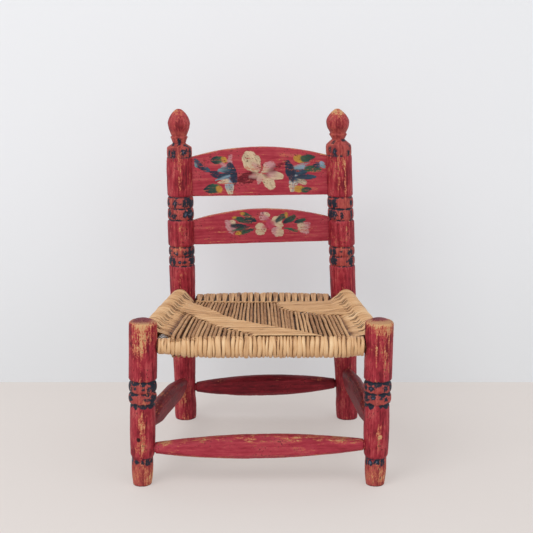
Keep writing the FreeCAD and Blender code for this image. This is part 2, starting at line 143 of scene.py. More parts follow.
class Shader:
    """A material and the few kinds of node that the finishes here are made of."""

    def __init__(self, name):
        self.material = bpy.data.materials.new(name)
        self.material.use_nodes = True
        self.tree = self.material.node_tree
        self.surface = self.tree.nodes["Principled BSDF"]

    def put(self, value, socket):
        """Links a socket to another, or sets a plain value on it."""
        if isinstance(value, bpy.types.NodeSocket):
            self.tree.links.new(value, socket)
        else:
            socket.default_value = value

    def node(self, kind, inputs, **settings):
        """A node with its settings, and with links or plain values on its inputs."""
        made = self.tree.nodes.new(kind)
        for name, value in settings.items():
            setattr(made, name, value)
        for name, value in inputs.items():
            self.put(value, made.inputs[name])
        return made

    def attribute(self, name, output="Fac"):
        return self.node("ShaderNodeAttribute", {}, attribute_name=name).outputs[output]

    def object_place(self):
        return self.node("ShaderNodeTexCoord", {}).outputs["Object"]

    def math(self, operation, first, second):
        return self.node("ShaderNodeMath", {0: first, 1: second}, operation=operation).outputs[0]

    def centred(self, value):
        return self.math("SUBTRACT", value, 0.5)

    def weighted(self, *parts):
        """The sum of values, each times a weight."""
        total = None
        for value, weight in parts:
            share = value if weight == 1.0 else self.math("MULTIPLY", value, weight)
            total = share if total is None else self.math("ADD", total, share)
        return total

    def noise(self, place, scale, detail=3.0, roughness=0.6):
        """Noise from 0 to 1 over places that are stretched by a scale along each axis."""
        stretched = self.node("ShaderNodeVectorMath", {0: place, 1: scale}, operation="MULTIPLY")
        inputs = {"Vector": stretched.outputs[0], "Scale": 1.0, "Detail": detail, "Roughness": roughness}
        return self.node("ShaderNodeTexNoise", inputs).outputs["Fac"]

    def step(self, value, low, high, to_low=0.0, to_high=1.0):
        inputs = {"Value": value, "From Min": low, "From Max": high, "To Min": to_low, "To Max": to_high}
        return self.node("ShaderNodeMapRange", inputs, interpolation_type="SMOOTHSTEP").outputs["Result"]

    def ramp(self, value, stops):
        made = self.node("ShaderNodeValToRGB", {"Fac": value})
        elements = made.color_ramp.elements
        while len(elements) < len(stops):
            elements.new(0.5)
        for element, (position, shade) in zip(elements, stops):
            element.position = position
            element.color = shade
        return made.outputs["Color"]

    def mix(self, share, first, second):
        inputs = {"Factor": share, 6: first, 7: second}
        return self.node("ShaderNodeMix", inputs, data_type="RGBA").outputs[2]

    def bump(self, height, strength, distance):
        made = self.node("ShaderNodeBump", {"Height": height, "Strength": strength, "Distance": distance})
        self.put(made.outputs["Normal"], self.surface.inputs["Normal"])

    def finish(self, shade, roughness, specular):
        self.put(shade, self.surface.inputs["Base Color"])
        self.put(roughness, self.surface.inputs["Roughness"])
        self.put(specular, self.surface.inputs["Specular IOR Level"])
        return self.material


CRIMSON_DARK = colour(84, 14, 28)
CRIMSON_DEEP = colour(132, 30, 42)
CRIMSON = colour(162, 47, 59)
CRIMSON_PALE = colour(188, 88, 86)
WORN_ORANGE = colour(188, 102, 78)
BARE_WOOD = colour(202, 158, 112)
PANEL_RED = colour(168, 74, 68)
PANEL_DARK = colour(130, 44, 46)
BLUE_BLACK = colour(32, 38, 52)
GREY_BLUE = colour(78, 88, 110)
GRIME = colour(44, 14, 16)
END_GRAIN = colour(122, 66, 72)
END_DARK = colour(88, 36, 48)
SLAT_RED = colour(160, 46, 62)
SLAT_PALE = colour(172, 60, 72)
TURNED_PAINT = ((0.38, CRIMSON_DARK), (0.46, CRIMSON_DEEP), (0.53, CRIMSON), (0.63, CRIMSON_PALE))
SLAT_PAINT = ((0.34, CRIMSON_DEEP), (0.46, SLAT_RED), (0.54, SLAT_PALE), (0.66, CRIMSON_PALE))
# Painted shade: darker paint for the rear and side stretchers, which stand in the seat's shadow
SEAT_SHADOW_PAINT = ((0.38, CRIMSON_DARK), (0.54, CRIMSON_DEEP), (0.66, CRIMSON))
PANEL_PAINT = ((0.42, PANEL_DARK), (0.52, PANEL_RED), (0.66, CRIMSON_PALE))
STRAND_TONES = (
    (0.0, colour(58, 36, 22)),
    (0.14, colour(130, 86, 52)),
    (0.38, colour(194, 148, 102)),
    (0.66, colour(219, 177, 130)),
    (1.0, colour(236, 205, 162)),
)
CORD_TONES = ((0.0, colour(92, 60, 36)), (0.4, colour(166, 121, 83)), (1.0, colour(216, 174, 128)))


def painted_wood(name, stops, with_picture):
    """Old red paint, streaked along the grain and worn through on the edges, with dark dabs over it."""
    shader = Shader(name)
    grain = shader.attribute("grain", "Vector")
    streak = shader.noise(grain, (360.0, 360.0, 18.0), 4.0, 0.65)
    fibre = shader.noise(grain, (1100.0, 1100.0, 90.0), 2.0)
    blotch = shader.noise(grain, (70.0, 70.0, 34.0))
    speck = shader.noise(grain, (620.0, 620.0, 420.0), 2.0, 0.5)
    fleck = shader.noise(grain, (760.0, 760.0, 60.0) if with_picture else (430.0, 430.0, 120.0))

    level = shader.weighted((streak, 0.4), (blotch, 0.4), (fleck, 0.2))
    shade = shader.ramp(level, stops)
    panel = shader.step(shader.weighted((shader.attribute("panel"), 1.0), (fibre, 0.3)), 0.45, 0.75)
    shade = shader.mix(panel, shade, shader.ramp(level, PANEL_PAINT))
    if with_picture:
        broken = shader.centred(shader.weighted((fleck, 0.7), (speck, 0.3)))
        whole = shader.math("SUBTRACT", 1.0, shader.math("MULTIPLY", broken, 5.0))
        covered = shader.math("MULTIPLY", shader.attribute("picture", "Alpha"), whole)
        kept = shader.step(covered, 0.25, 0.7, 0.0, 0.97)
        shade = shader.mix(kept, shade, shader.attribute("picture", "Color"))

    ragged = shader.centred(speck)
    dab_edge = shader.weighted((shader.attribute("dab"), 1.0), (ragged, 3.0))
    blue_edge = shader.weighted((shader.attribute("blue"), 1.0), (ragged, 1.6))
    rubbed = shader.weighted((streak, 0.28), (fleck, 0.4), (speck, 0.32), (shader.attribute("wear"), 0.26))
    stain = shader.weighted((speck, 0.6), (blotch, 0.4))
    for edge, low, high, most, laid in (
        (dab_edge, -0.3, 0.5, 1.0, BLUE_BLACK),
        (blue_edge, -0.2, 0.6, 1.0, GREY_BLUE),
        (rubbed, 0.62, 0.7, 1.0, WORN_ORANGE),
        (rubbed, 0.69, 0.77, 1.0, BARE_WOOD),
        (stain, 0.585, 0.65, 0.75, GRIME),
    ):
        shade = shader.mix(shader.step(edge, low, high, 0.0, most), shade, laid)

    end_shade = shader.ramp(stain, ((0.42, END_DARK), (0.56, END_GRAIN)))
    shade = shader.mix(shader.attribute("end"), shade, end_shade)
    # Darker where the darkening value is high: near the floor, at the nail spot, on the stretchers' tops and
    # towards the lower slat's right end
    shade = shader.mix(shader.attribute("grime"), shade, GRIME)
    shader.bump(shader.weighted((streak, 1.0), (fibre, 0.5), (fleck, 0.6)), 0.4, 0.0007)
    return shader.finish(shade, shader.step(rubbed, 0.5, 0.85, 0.52, 0.75), 0.2)


def palm(name, stops, roughness, specular):
    """Dried palm leaf: fine fibres along the strand, and a tone of its own for each strand."""
    shader = Shader(name)
    place = shader.attribute("fibre", "Vector")
    fibre = shader.noise(place, (1200.0, 30.0, 1.0), 4.0, 0.7)
    patch = shader.noise(place, (60.0, 42.0, 1.0), 2.0, 0.5)
    changes = (shader.centred(fibre), 1.2), (shader.centred(patch), 0.7)
    shade = shader.ramp(shader.weighted((shader.attribute("tone"), 1.0), *changes), stops)
    shader.bump(fibre, 0.5, 0.0004)
    return shader.finish(shade, roughness, specular)


def raw_wood(name, dark, light):
    """Unpainted wood that stays hidden under the seat's winding."""
    shader = Shader(name)
    grain = shader.noise(shader.object_place(), (160.0, 160.0, 160.0), 4.0, 0.65)
    shader.bump(grain, 0.3, 0.0005)
    return shader.finish(shader.ramp(grain, ((0.35, dark), (0.65, light))), 0.7, 0.2)


red_paint = painted_wood("painted_wood", TURNED_PAINT, False)
flower_paint = painted_wood("flower_slat", SLAT_PAINT, True)
stretcher_paint = painted_wood("stretcher_paint", SLAT_PAINT, False)
seat_shadow_paint = painted_wood("seat_shadow_paint", SEAT_SHADOW_PAINT, False)
strand_palm = palm("palm_strand", STRAND_TONES, 0.42, 0.5)
cord_palm = palm("palm_cord", CORD_TONES, 0.5, 0.4)
bare_rail = raw_wood("rail_wood", colour(70, 38, 26), colour(128, 76, 48))


# Pieces with values on their points


def set_values(mesh, name, kind, values):
    """Writes one value, vector or colour for each point of a mesh."""
    key = {"FLOAT": "value", "FLOAT_VECTOR": "vector", "FLOAT_COLOR": "color"}[kind]
    mesh.attributes.new(name, kind, "POINT").data.foreach_set(key, np.asarray(values, np.float32).ravel())


def show(name, mesh, material, slot, *replaced):
    """A piece that stands for CAD nodes and rides on the one body."""
    mesh.materials.clear()
    mesh.materials.append(material)
    mesh.polygons.foreach_set("use_smooth", [True] * len(mesh.polygons))
    piece = bpy.data.objects.new(name, mesh)
    bpy.context.collection.objects.link(piece)
    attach(piece, "root")
    if replaced:
        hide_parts(*replaced)


def remeshed(node, voxel):
    """A fine, even copy of a CAD node's surface."""
    source = nodes[node].data.copy()
    work = bpy.data.objects.new(node + "_work", source)
    bpy.context.collection.objects.link(work)
    work.modifiers.new("weld", "WELD").merge_threshold = 1e-6
    remesh = work.modifiers.new("remesh", "REMESH")
    remesh.mode = "VOXEL"
    remesh.voxel_size = voxel * MM
    fit = work.modifiers.new("fit", "SHRINKWRAP")
    fit.wrap_method = "NEAREST_SURFACEPOINT"
    fit.target = nodes[node]
    graph = bpy.context.evaluated_depsgraph_get()
    mesh = bpy.data.meshes.new_from_object(work.evaluated_get(graph))
    bpy.data.objects.remove(work)
    bpy.data.meshes.remove(source)
    return mesh


# Values of the turned uprights, in mm up from the floor and in degrees from the front


SCALLOPS = 9
DAB_SPREAD = 2.1
HEART_SHARE = 0.34
GREY = True
FAR_OUTSIDE = -50.0
GROOVE_DEPTH, GROOVE_HALF_WIDTH = 0.9, 1.3
LEG_RADIUS, POST_RADIUS = 16.6, 18.6
LEG_NECK = 37.0

# Grooves: height, and how far the dark scallops reach below and above
LEG_GROOVES = ((108.5, 4.4, 2.6), (123.2, 2.4, 2.6), (137.9, 2.6, 1.6))
LOWER_BEADS = ((232.5, 0.2, 1.2), (246.4, 1.2, 1.2), (260.3, 1.2, 0.2))
UPPER_BEADS = ((299.2, 0.2, 1.4), (315.9, 1.4, 1.4), (332.6, 1.4, 0.2))
TOP_BAND_REACH = (0.2, 0.8)

# Round spots of paint: height, turn, radius
NAIL_SPOT = (64.0, -13.0, 2.8)
BARE_SPOT = (68.0, 14.0, 2.2)

# The posts' turned tops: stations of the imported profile, and their heights on each post
PACKED_STATIONS = (384.0, 392.5, 401.5, 411.7, 413.7, 418.1, 420.9, 439.0, 457.4)
LEFT_STATIONS = (384.0, 388.8, 403.0, 408.3, 409.0, 417.1, 418.5, 435.6, 457.0)
RIGHT_STATIONS = (384.0, 391.6, 406.2, 413.9, 414.8, 421.2, 422.9, 438.8, 457.6)

# Outlines of the tops up to the widest part of the egg, and of the egg above it: height, radius
LEFT_TURNING = (
    (384.0, 18.4), (388.0, 18.3), (388.8, 17.2), (389.7, 17.7), (395.0, 18.0), (401.5, 17.7), (403.1, 17.1),
    (407.2, 10.4), (408.3, 9.2), (409.0, 9.2), (415.3, 11.3), (417.1, 12.3), (417.6, 12.1), (418.5, 10.4),
    (422.5, 12.0), (428.9, 14.4), (435.6, 15.8),
)
LEFT_EGG = (
    (435.6, 15.8), (442.4, 14.4), (446.9, 12.4), (451.3, 9.2), (454.9, 5.6), (456.6, 3.0), (457.0, 0.0),
)
RIGHT_TURNING = (
    (384.0, 18.4), (390.8, 18.3), (391.6, 17.4), (392.5, 17.9), (397.2, 18.2), (403.5, 18.2), (406.2, 17.6),
    (407.4, 16.8), (413.0, 10.2), (413.9, 8.9), (414.8, 8.9), (419.8, 11.8), (421.2, 12.6), (421.9, 12.4),
    (422.9, 11.1), (424.3, 11.7), (430.7, 15.1), (434.7, 16.1), (438.8, 16.5),
)
RIGHT_EGG = (
    (438.8, 16.5), (443.0, 15.6), (446.8, 13.5), (451.3, 9.7), (454.0, 6.9), (455.6, 4.9), (457.2, 3.0),
    (457.6, 0.0),
)
LEFT_TOP = LEFT_STATIONS, LEFT_TURNING, LEFT_EGG
RIGHT_TOP = RIGHT_STATIONS, RIGHT_TURNING, RIGHT_EGG

# Heights up a rear post's foot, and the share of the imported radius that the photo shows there
FOOT_TAPER = (
    (0, 1.1), (3, 1.06), (8, 0.98), (14, 0.92), (25, 0.892), (45, 0.9), (90, 0.95), (140, 0.985), (170, 1.0),
)

# Worn columns of paint: height, half height, turn, half width in degrees, strength
LEFT_LEG_WORN = (
    (75, 34, 4, 20, 0.6), (194, 22, -10, 50, 0.3), (160, 34, 0, 8, 0.35), (118, 12, 20, 40, 0.2),
    (213, 6, 0, 75, 0.3), (200, 16, 14, 22, 0.3),
)
RIGHT_LEG_WORN = ((70, 20, 6, 11, 0.6), (172, 44, -14, 6, 0.4), (208, 9, 18, 45, 0.4), (186, 28, 28, 20, 0.3))
LEFT_POST_WORN = ((365, 26, 3, 8, 0.5), (280, 16, 5, 9, 0.3), (215, 14, -5, 9, 0.4), (25, 22, 0, 50, 0.2))
RIGHT_POST_WORN = ((360, 30, 22, 5, 0.5), (365, 28, -8, 6, 0.3), (280, 16, 20, 8, 0.3), (210, 18, 0, 9, 0.3))

# Brush dabs: height, turn, half width, half height, and GREY where the heart is grey
LEFT_POST_DABS = (
    (324, -64, 2, 6.5), (324, -21, 1.9, 7, GREY), (323, 1, 1, 1.6), (324, 20, 1.6, 7), (324, 50, 4.2, 7),
    (308, -55, 2.2, 6), (306, -27, 1.8, 4.5), (308, 25, 2, 6, GREY), (308, 52, 4, 6.5, GREY),
    (253, -58, 2.4, 6), (252, -21, 1.8, 4, GREY), (252, 19, 1.7, 4), (253, 43, 2, 6), (253, 64, 2.4, 6),
    (240, -58, 2.6, 6), (239, -34, 1.8, 5), (239, -7, 1.5, 2.4, GREY), (239, 16, 1.4, 2.4),
    (240, 55, 2.8, 6), (395, -50, 1.5, 7), (394, -25, 1.9, 7.5, GREY), (397, 20, 2.2, 5.5, GREY),
    (399, 38, 1.3, 4), (395, 60, 1.9, 8), (411, 5, 2.2, 6.5), (407, -48, 2.2, 2.2), (406, 50, 2.6, 2.2),
)
RIGHT_POST_DABS = (
    (324, -56, 2.8, 6.5), (324, -32, 2.4, 7), (316, 0, 1, 1.6), (325, 52, 1.7, 6), (308, -54, 2.8, 6.5),
    (308, -31, 2, 6.5, GREY), (307, 3, 1.1, 5), (308, 52, 1.5, 6), (253, -62, 2, 6), (253, -40, 1.8, 6.5),
    (255, -4, 1.1, 1.7), (248, -5, 0.9, 1.3), (253, 37, 2.3, 6.5), (240, -56, 2.6, 5.5), (240, -36, 2, 6),
    (240, 20, 1.1, 1.9), (240, 42, 2.4, 6.5), (401, -46, 1.3, 4.5), (397, -22, 1.6, 6.5, GREY),
    (392, 8, 1.2, 3), (396, 46, 1.7, 4.2), (406, 58, 1.3, 2.4), (411, -34, 1.9, 2.6), (413, 42, 3, 1.6),
    (418, -10, 0.9, 1.3),
)
LEFT_LEG_DABS = (
    (131, -60, 3, 6), (131, -28, 1.3, 2.4, GREY), (130, 8, 1.3, 2.4), (130, 34, 1.6, 4, GREY),
    (131, 60, 3.4, 6.5), (117, -56, 2.4, 4), (116, 13, 1.2, 3), (116, 32, 1.3, 2.6, GREY),
    (116, 54, 3, 6), (33, -62, 1.6, 5, GREY), (33, -28, 2.4, 3), (32, 4, 1.4, 4), (32, 35, 2.4, 4),
    (33, 62, 2, 4),
)
RIGHT_LEG_DABS = (
    (131, -62, 1.6, 4), (131, -34, 2.1, 3.6, GREY), (134, -12, 1, 2), (131, 30, 1.7, 3.4, GREY),
    (131, 62, 1.8, 4.4), (117, -58, 2.2, 4.4), (119, -25, 1.8, 3, GREY), (119, 12, 1, 2.2),
    (117, 34, 1.5, 3.6), (32, -64, 2, 5), (32, -35, 2.6, 5, GREY), (33, 0, 3, 4, GREY), (32, 32, 2.6, 5),
    (24, 18, 1, 3), (18, 22, 1, 2.5), (12, 24, 1, 2.5), (19, 34, 0.8, 2),
)


# The turned uprights and the stretchers


def axis_places(points, line):
    """Each point's two offsets from a line and its place along it."""
    start, end = line
    along = unit(end - start)
    side = unit(np.cross(along, ASLANT))
    offset = points - start
    return np.stack([offset @ side, offset @ np.cross(side, along), offset @ along], axis=1)


def turn_from(angle, turn):
    """How far an angle round an upright lies from a turn in degrees from the front, in radians."""
    return np.mod(angle - math.radians(turn - 90.0) + math.pi, 2.0 * math.pi) - math.pi


def scalloped(height, angle, grooves, thin, cover, seed):
    """How far inside the dark, patchy scallops beside each groove a point lies, in mm."""
    depth = np.full(len(height), FAR_OUTSIDE)
    for number, (groove, below, above) in enumerate(grooves):
        place = points_at(angle * 2.2, number + 0.5, height * 0.05)
        wander = lattice_noise(place, seed + 3)
        laid = ease_step(-0.3, 0.3, lattice_noise(place * 0.8 + 5.0, seed + 4) + cover)
        turn = SCALLOPS * angle / 2.0 + 1.7 * number + seed
        lobe = np.abs(np.cos(turn + 0.9 * wander)) ** 0.8 * (1.0 + 0.6 * wander)
        reach = (thin + lobe * np.where(height > groove, above, below)) * laid
        depth = np.maximum(depth, reach - np.abs(height - groove))
    return depth


def brushed(height, angle, radius, marks, seed):
    """How far inside the brush dabs, and inside their grey hearts, a point lies, in mm."""
    pick = np.random.default_rng(seed)
    dark = np.full(len(height), FAR_OUTSIDE)
    heart = np.full(len(height), FAR_OUTSIDE)
    stray = 0.34 * lattice_noise(points_at(angle * 7.0, height / 2.0, 0.0), seed)
    for far_side in (0.0, 180.0):
        for mid, turn, half_wide, half_tall, *grey in marks:
            turn += far_side + (pick.normal(0.0, 6.0) if far_side else 0.0)
            across = turn_from(angle, turn) * radius
            away = np.hypot(across / (DAB_SPREAD * half_wide), (height - mid) / half_tall) + stray
            dark = np.maximum(dark, (1.0 - away) * half_wide)
            if grey:
                heart = np.maximum(heart, (HEART_SHARE - away) * half_wide)
    return dark, heart


def worn(height, angle, columns):
    """How much more the paint is rubbed away in a few columns round an upright."""
    total = np.zeros(len(height))
    for mid, half_tall, turn, half_turn, strength in columns:
        across = np.degrees(turn_from(angle, turn)) / half_turn
        total += strength * np.exp(-(across**2) - ((height - mid) / half_tall) ** 4)
    return total


def spot(height, angle, radius, mid, turn, size):
    """How far inside a round spot on an upright a point lies, in mm."""
    return size - np.hypot(turn_from(angle, turn) * radius, height - mid)


def bead_share(height, grooves, margin):
    """1 on the beads between the first and the last of some grooves, and 0 beyond them."""
    low, high = grooves[0][0], grooves[-1][0]
    rising = ease_step(low - margin, low + margin, height)
    return rising * (1.0 - ease_step(high - margin, high + margin, height))


# Darker in the lowest 2.5 mm above the floor
def floor_grime(height):
    return 0.6 * (1.0 - ease_step(0.0, 2.5, height))


def roughen(mesh, seed, wave, dent, grooves=()):
    """Hand-made unevenness, in mm along the surface normals: a slow wave, small dents and deeper grooves."""
    points = read_points(mesh)
    normals = read_vectors(mesh.vertex_normals, "vector")
    shift = wave * lattice_noise(points / 26.0, seed) + 0.5 * wave * lattice_noise(points / 9.0, seed + 1)
    dents = lattice_noise(points / 3.2, seed + 2)
    shift += dent * np.minimum(dents + 0.25, 0.0) + 0.3 * dent * dents
    for groove in grooves:
        shift -= GROOVE_DEPTH * np.exp(-(((points[:, 2] - groove[0]) / GROOVE_HALF_WIDTH) ** 2))
    write_points(mesh, points + normals * shift[:, None])
    return points, normals


def show_painted(node, mesh, grain, paint=red_paint, slot="painted_wood", **values):
    """A painted copy of a node, with the values that its paint reads at each point."""
    set_values(mesh, "grain", "FLOAT_VECTOR", grain * MM)
    for name in ("panel", "dab", "blue", "wear", "end", "grime"):
        level = values.get(name, FAR_OUTSIDE if name in ("dab", "blue") else 0.0)
        set_values(mesh, name, "FLOAT", np.broadcast_to(level, len(grain)))
    show(node + "_painted", mesh, paint, slot, node)


def upright_axis(node):
    """The middles of an upright's foot and of its top."""
    points = read_points(nodes[node].data)
    top = points[:, 2].max()
    return middle(points[points[:, 2] < 0.2]), middle(points[points[:, 2] > top - 1.2])


def turned_places(points, line):
    """The height, the angle round the middle line and the distance from it, of an upright's points."""
    height = points[:, 2]
    offset = points - on_bar(line, 2, height)
    return height, np.arctan2(offset[:, 1], offset[:, 0]), np.hypot(offset[:, 0], offset[:, 1])


def make_leg(node, marks, columns, nail_spots, bare_spots, seed):
    """A front leg with dark beads and neck, a rubbed foot and rim, and bare end grain on its top."""
    line = upright_axis(node)
    mesh = remeshed(node, voxel=0.9)
    points, normals = roughen(mesh, seed, wave=0.22, dent=0.16, grooves=LEG_GROOVES)
    height, angle, radius = turned_places(points, line)
    low = lattice_noise(points / 14.0, seed + 11)
    top = line[1][2]
    top_share = ease_step(top - 9.0, top - 2.5, height)
    core = 0.85 - 0.5 * ease_step(7.0, 14.0, radius + 5.0 * low)
    end_share = ease_step(0.6, 0.9, normals[:, 2]) * top_share * core

    foot = 1.0 - ease_step(12.0, 46.0, height + 9.0 * low)
    rim = top_share * ease_step(7.0, 13.0, radius)
    wear = 0.14 + 0.5 * foot + rim * (0.6 + 0.4 * low) + 0.22 * ease_step(150.0, 200.0, height) + 0.3 * low
    wear += worn(height, angle, columns)
    for place in bare_spots:
        wear += 0.7 * ease_step(-1.6, 0.8, spot(height, angle, LEG_RADIUS, *place))
    grime = floor_grime(height)
    for place in nail_spots:
        grime = np.maximum(grime, ease_step(-0.6, 0.4, spot(height, angle, LEG_RADIUS, *place)))

    dark, heart = brushed(height, angle, LEG_RADIUS, marks, seed)
    scallops = scalloped(height, angle, LEG_GROOVES, thin=1.1, cover=0.5, seed=seed + 5)
    ring = 0.9 - np.abs(height - LEG_NECK) - 1.4 * ease_step(-0.1, 0.4, low)
    dab = np.max([dark, scallops, ring], axis=0)
    panel = np.maximum(bead_share(height, LEG_GROOVES, 2.5), 1.0 - ease_step(33.0, 37.0, height))
    grain = axis_places(points, line)
    show_painted(node, mesh, grain, panel=panel, dab=dab, blue=heart, wear=wear, end=end_share, grime=grime)


def reshape_top(mesh, line, stations, turning, egg):
    """Gives a post's turned top its own outline: the band, the collar and the egg of the finial."""
    points = read_points(mesh)
    height, angle, radius = turned_places(points, line)
    moved = np.interp(height, PACKED_STATIONS, stations)
    egg_heights, egg_radii = np.array(egg).T
    widest = egg_heights[0]
    rises = egg_heights - widest
    tilt = np.arctan2(moved - widest, radius)
    reach = np.interp(tilt, np.arctan2(rises, egg_radii), np.hypot(rises, egg_radii))
    on_egg = moved > widest
    new_height = np.where(on_egg, widest + reach * np.sin(tilt), moved)
    new_radius = np.where(on_egg, reach * np.cos(tilt), line_at(turning, moved))
    spokes = points_at(new_radius * np.cos(angle), new_radius * np.sin(angle), 0.0)
    above = (height > PACKED_STATIONS[0])[:, None]
    write_points(mesh, np.where(above, on_bar(line, 2, new_height) + spokes, points))


def taper_foot(mesh, line):
    """Draws the foot of a rear post in round its middle line."""
    points = read_points(mesh)
    middles = on_bar(line, 2, points[:, 2])
    share = line_at(FOOT_TAPER, points[:, 2])[:, None]
    points[:, :2] = middles[:, :2] + (points - middles)[:, :2] * share
    write_points(mesh, points)


def make_post(node, marks, columns, top_shape, seed):
    """A rear post with dark beads and neck, and a finial that is worn at its tip."""
    line = upright_axis(node)
    mesh = remeshed(node, voxel=0.95)
    reshape_top(mesh, line, *top_shape)
    taper_foot(mesh, line)
    stations = top_shape[0]
    band, neck, collar = stations[1], stations[3], stations[6]
    beads = (*LOWER_BEADS, *UPPER_BEADS)
    points = roughen(mesh, seed, wave=0.25, dent=0.16, grooves=beads)[0]
    height, angle = turned_places(points, line)[:2]
    low = lattice_noise(points / 16.0, seed + 11)
    foot = 1.0 - ease_step(2.0, 46.0, height + 12.0 * low)
    finial = ease_step(collar, collar + 10.0, height)
    tip = ease_step(447.0, 456.0, height + 3.0 * low)
    wear = 0.23 + 0.06 * foot + 0.03 * finial + 0.5 * tip + 0.28 * low + worn(height, angle, columns)

    dark, heart = brushed(height, angle, POST_RADIUS, marks, seed)
    grooves = (*beads, (band, *TOP_BAND_REACH))
    scallops = scalloped(height, angle, grooves, thin=0.45, cover=0.15, seed=seed)
    ring = 1.3 - np.abs(height - neck) - 1.6 * ease_step(-0.1, 0.3, low)
    dab = np.max([dark, scallops, ring], axis=0)
    top_panel = ease_step(band - 1.0, band + 1.0, height) * (1.0 - 0.57 * finial)
    bead_panels = [bead_share(height, pair, 2.0) for pair in (LOWER_BEADS, UPPER_BEADS)]
    panel = np.max([*bead_panels, top_panel], axis=0)
    grain = axis_places(points, line)
    grime = floor_grime(height)
    show_painted(node, mesh, grain, panel=panel, dab=dab, blue=heart, wear=wear, grime=grime)


def make_stretcher(node, axis, paint, least_wear, seed):
    """A hewn stretcher, rubbed below and above, and darker on its top."""
    mesh = remeshed(node, voxel=0.8)
    points, normals = roughen(mesh, seed, wave=0.3, dent=0.2)
    low = lattice_noise(points / 12.0, seed + 11)
    wear = least_wear + 0.34 * low + 0.36 * ease_step(0.3, 0.8, np.abs(normals[:, 2]))
    grime = np.clip(0.35 * ease_step(0.5, 0.95, normals[:, 2]) * (0.6 + 0.4 * low), 0.0, 1.0)
    grain = axis_places(points, bar_ends(node, axis))
    show_painted(node, mesh, grain, paint, wear=wear, grime=grime)


# The flowers on the slats, as brush strokes in mm from the middle of a slat's lower edge


CREAM = colour(194, 174, 144)
ROSE_WHITE = colour(184, 134, 138)
ROSE = colour(168, 62, 84)
MAROON = colour(92, 18, 30)
TEAL = colour(104, 142, 150)
SKY = colour(136, 160, 180)
INK_BLUE = colour(20, 44, 64)
SLATE_BLUE = colour(42, 76, 94)
LEAF = colour(40, 80, 62)
LEAF_DARK = colour(18, 48, 56)
YELLOW = colour(178, 134, 56)
LEAST_COVER = 1e-4

# Each stroke: start, end, half widths at the start, the middle and the end, cover, one colour or two
TOP_STROKES = (
    ((-6, 40), (-14, 53), (8, 13, 11), 1.0, CREAM),
    ((2, 36), (-9, 46), (1.5, 4, 2), 0.6, ROSE, ROSE_WHITE),
    ((6, 35), (16, 43), (3, 8, 7), 0.8, CREAM, ROSE_WHITE),
    ((6, 31), (16, 14), (2, 7.5, 6.5), 1.0, CREAM),
    ((9, 31), (30, 27), (2, 6, 4.5), 1.0, ROSE_WHITE, CREAM),
    ((5, 31), (14, 26), (1.5, 3, 1), 0.7, MAROON, ROSE), ((-2, 29), (-28, 23), (3, 9, 5), 0.8, MAROON),
    ((12, 33), (36, 47), (1.5, 4.5, 2), 0.6, MAROON),
    ((0, 30), (-13, 27), (1.5, 3.5, 2), 0.8, CREAM, ROSE_WHITE),
    ((3, 32), (-2, 17), (1.5, 4.2, 1.5), 0.95, CREAM, ROSE_WHITE),
    ((50, 26), (46, 8), (5, 6.5, 3.5), 1.0, SKY, CREAM),
    ((50, 24), (64, 18), (3, 5, 3.5), 1.0, SLATE_BLUE, CREAM),
    ((48, 40), (71, 46), (1.5, 2.5, 1), 0.75, ROSE_WHITE, TEAL),
    ((46, 34), (66, 33), (4, 5, 2), 1.0, INK_BLUE, SLATE_BLUE),
    ((50, 39), (68, 40), (2, 2.5, 1), 0.9, TEAL, SKY),
    ((52, 26), (80, 26), (1.5, 4, 1.5), 1.0, INK_BLUE, SLATE_BLUE),
    ((40, 47), (47, 21), (3.5, 6.5, 3), 1.0, INK_BLUE), ((53, 53), (60, 51), (5, 6, 5), 1.0, YELLOW),
    ((63, 52), (80, 55), (5, 4.5, 0.8), 1.0, LEAF, LEAF_DARK),
    ((53, 9), (60, 9), (4.5, 5, 4), 1.0, YELLOW), ((63, 7), (75, 9), (4, 3.5, 0.8), 1.0, LEAF, LEAF_DARK),
    ((67, 38), (86, 36), (3.5, 5, 2.5), 1.0, LEAF),
    ((79, 42), (86, 43), (3, 4, 3), 1.0, INK_BLUE, SLATE_BLUE),
    ((88, 45), (91, 41), (3, 4, 3), 0.95, SKY, TEAL), ((-44, 20), (-42, 5), (5, 6.5, 4), 1.0, SKY, CREAM),
    ((-46, 21), (-59, 19), (3, 3, 1.5), 0.95, CREAM), ((-44, 17), (-43, 9), (1.5, 3, 1.5), 0.6, TEAL),
    ((-44, 40), (-41, 56), (3, 4, 3.5), 0.75, ROSE_WHITE),
    ((-48, 40), (-54, 47), (2.5, 4, 3), 0.7, ROSE_WHITE),
    ((-42, 43), (-36, 20), (5, 7, 4), 1.0, INK_BLUE),
    ((-38, 32), (-58, 27), (4, 5, 2), 1.0, INK_BLUE, SLATE_BLUE),
    ((-42, 38), (-57, 37), (2, 4, 2.5), 0.95, SLATE_BLUE, TEAL),
    ((-43, 29), (-63, 22), (1.2, 1.6, 0.8), 0.9, SKY, TEAL),
    ((-68, 51), (-56, 52), (2, 6, 5), 1.0, LEAF_DARK, LEAF),
    ((-51, 53), (-49, 50), (3.5, 4, 3), 1.0, YELLOW),
    ((-78, 9), (-62, 11), (2.5, 7, 6.5), 1.0, LEAF_DARK, LEAF),
    ((-58, 11), (-57, 8), (4.5, 5, 4), 1.0, YELLOW),
    ((-91, 52), (-83, 41), (2.5, 4.5, 3), 0.95, SLATE_BLUE, INK_BLUE),
    ((-92, 47), (-90, 43), (1.5, 2.2, 1.5), 0.9, TEAL),
    ((-83, 42), (-73, 37), (3, 4.5, 3), 1.0, INK_BLUE, SLATE_BLUE),
    ((-68, 33), (-58, 29), (3.5, 5, 4), 0.95, INK_BLUE),
)
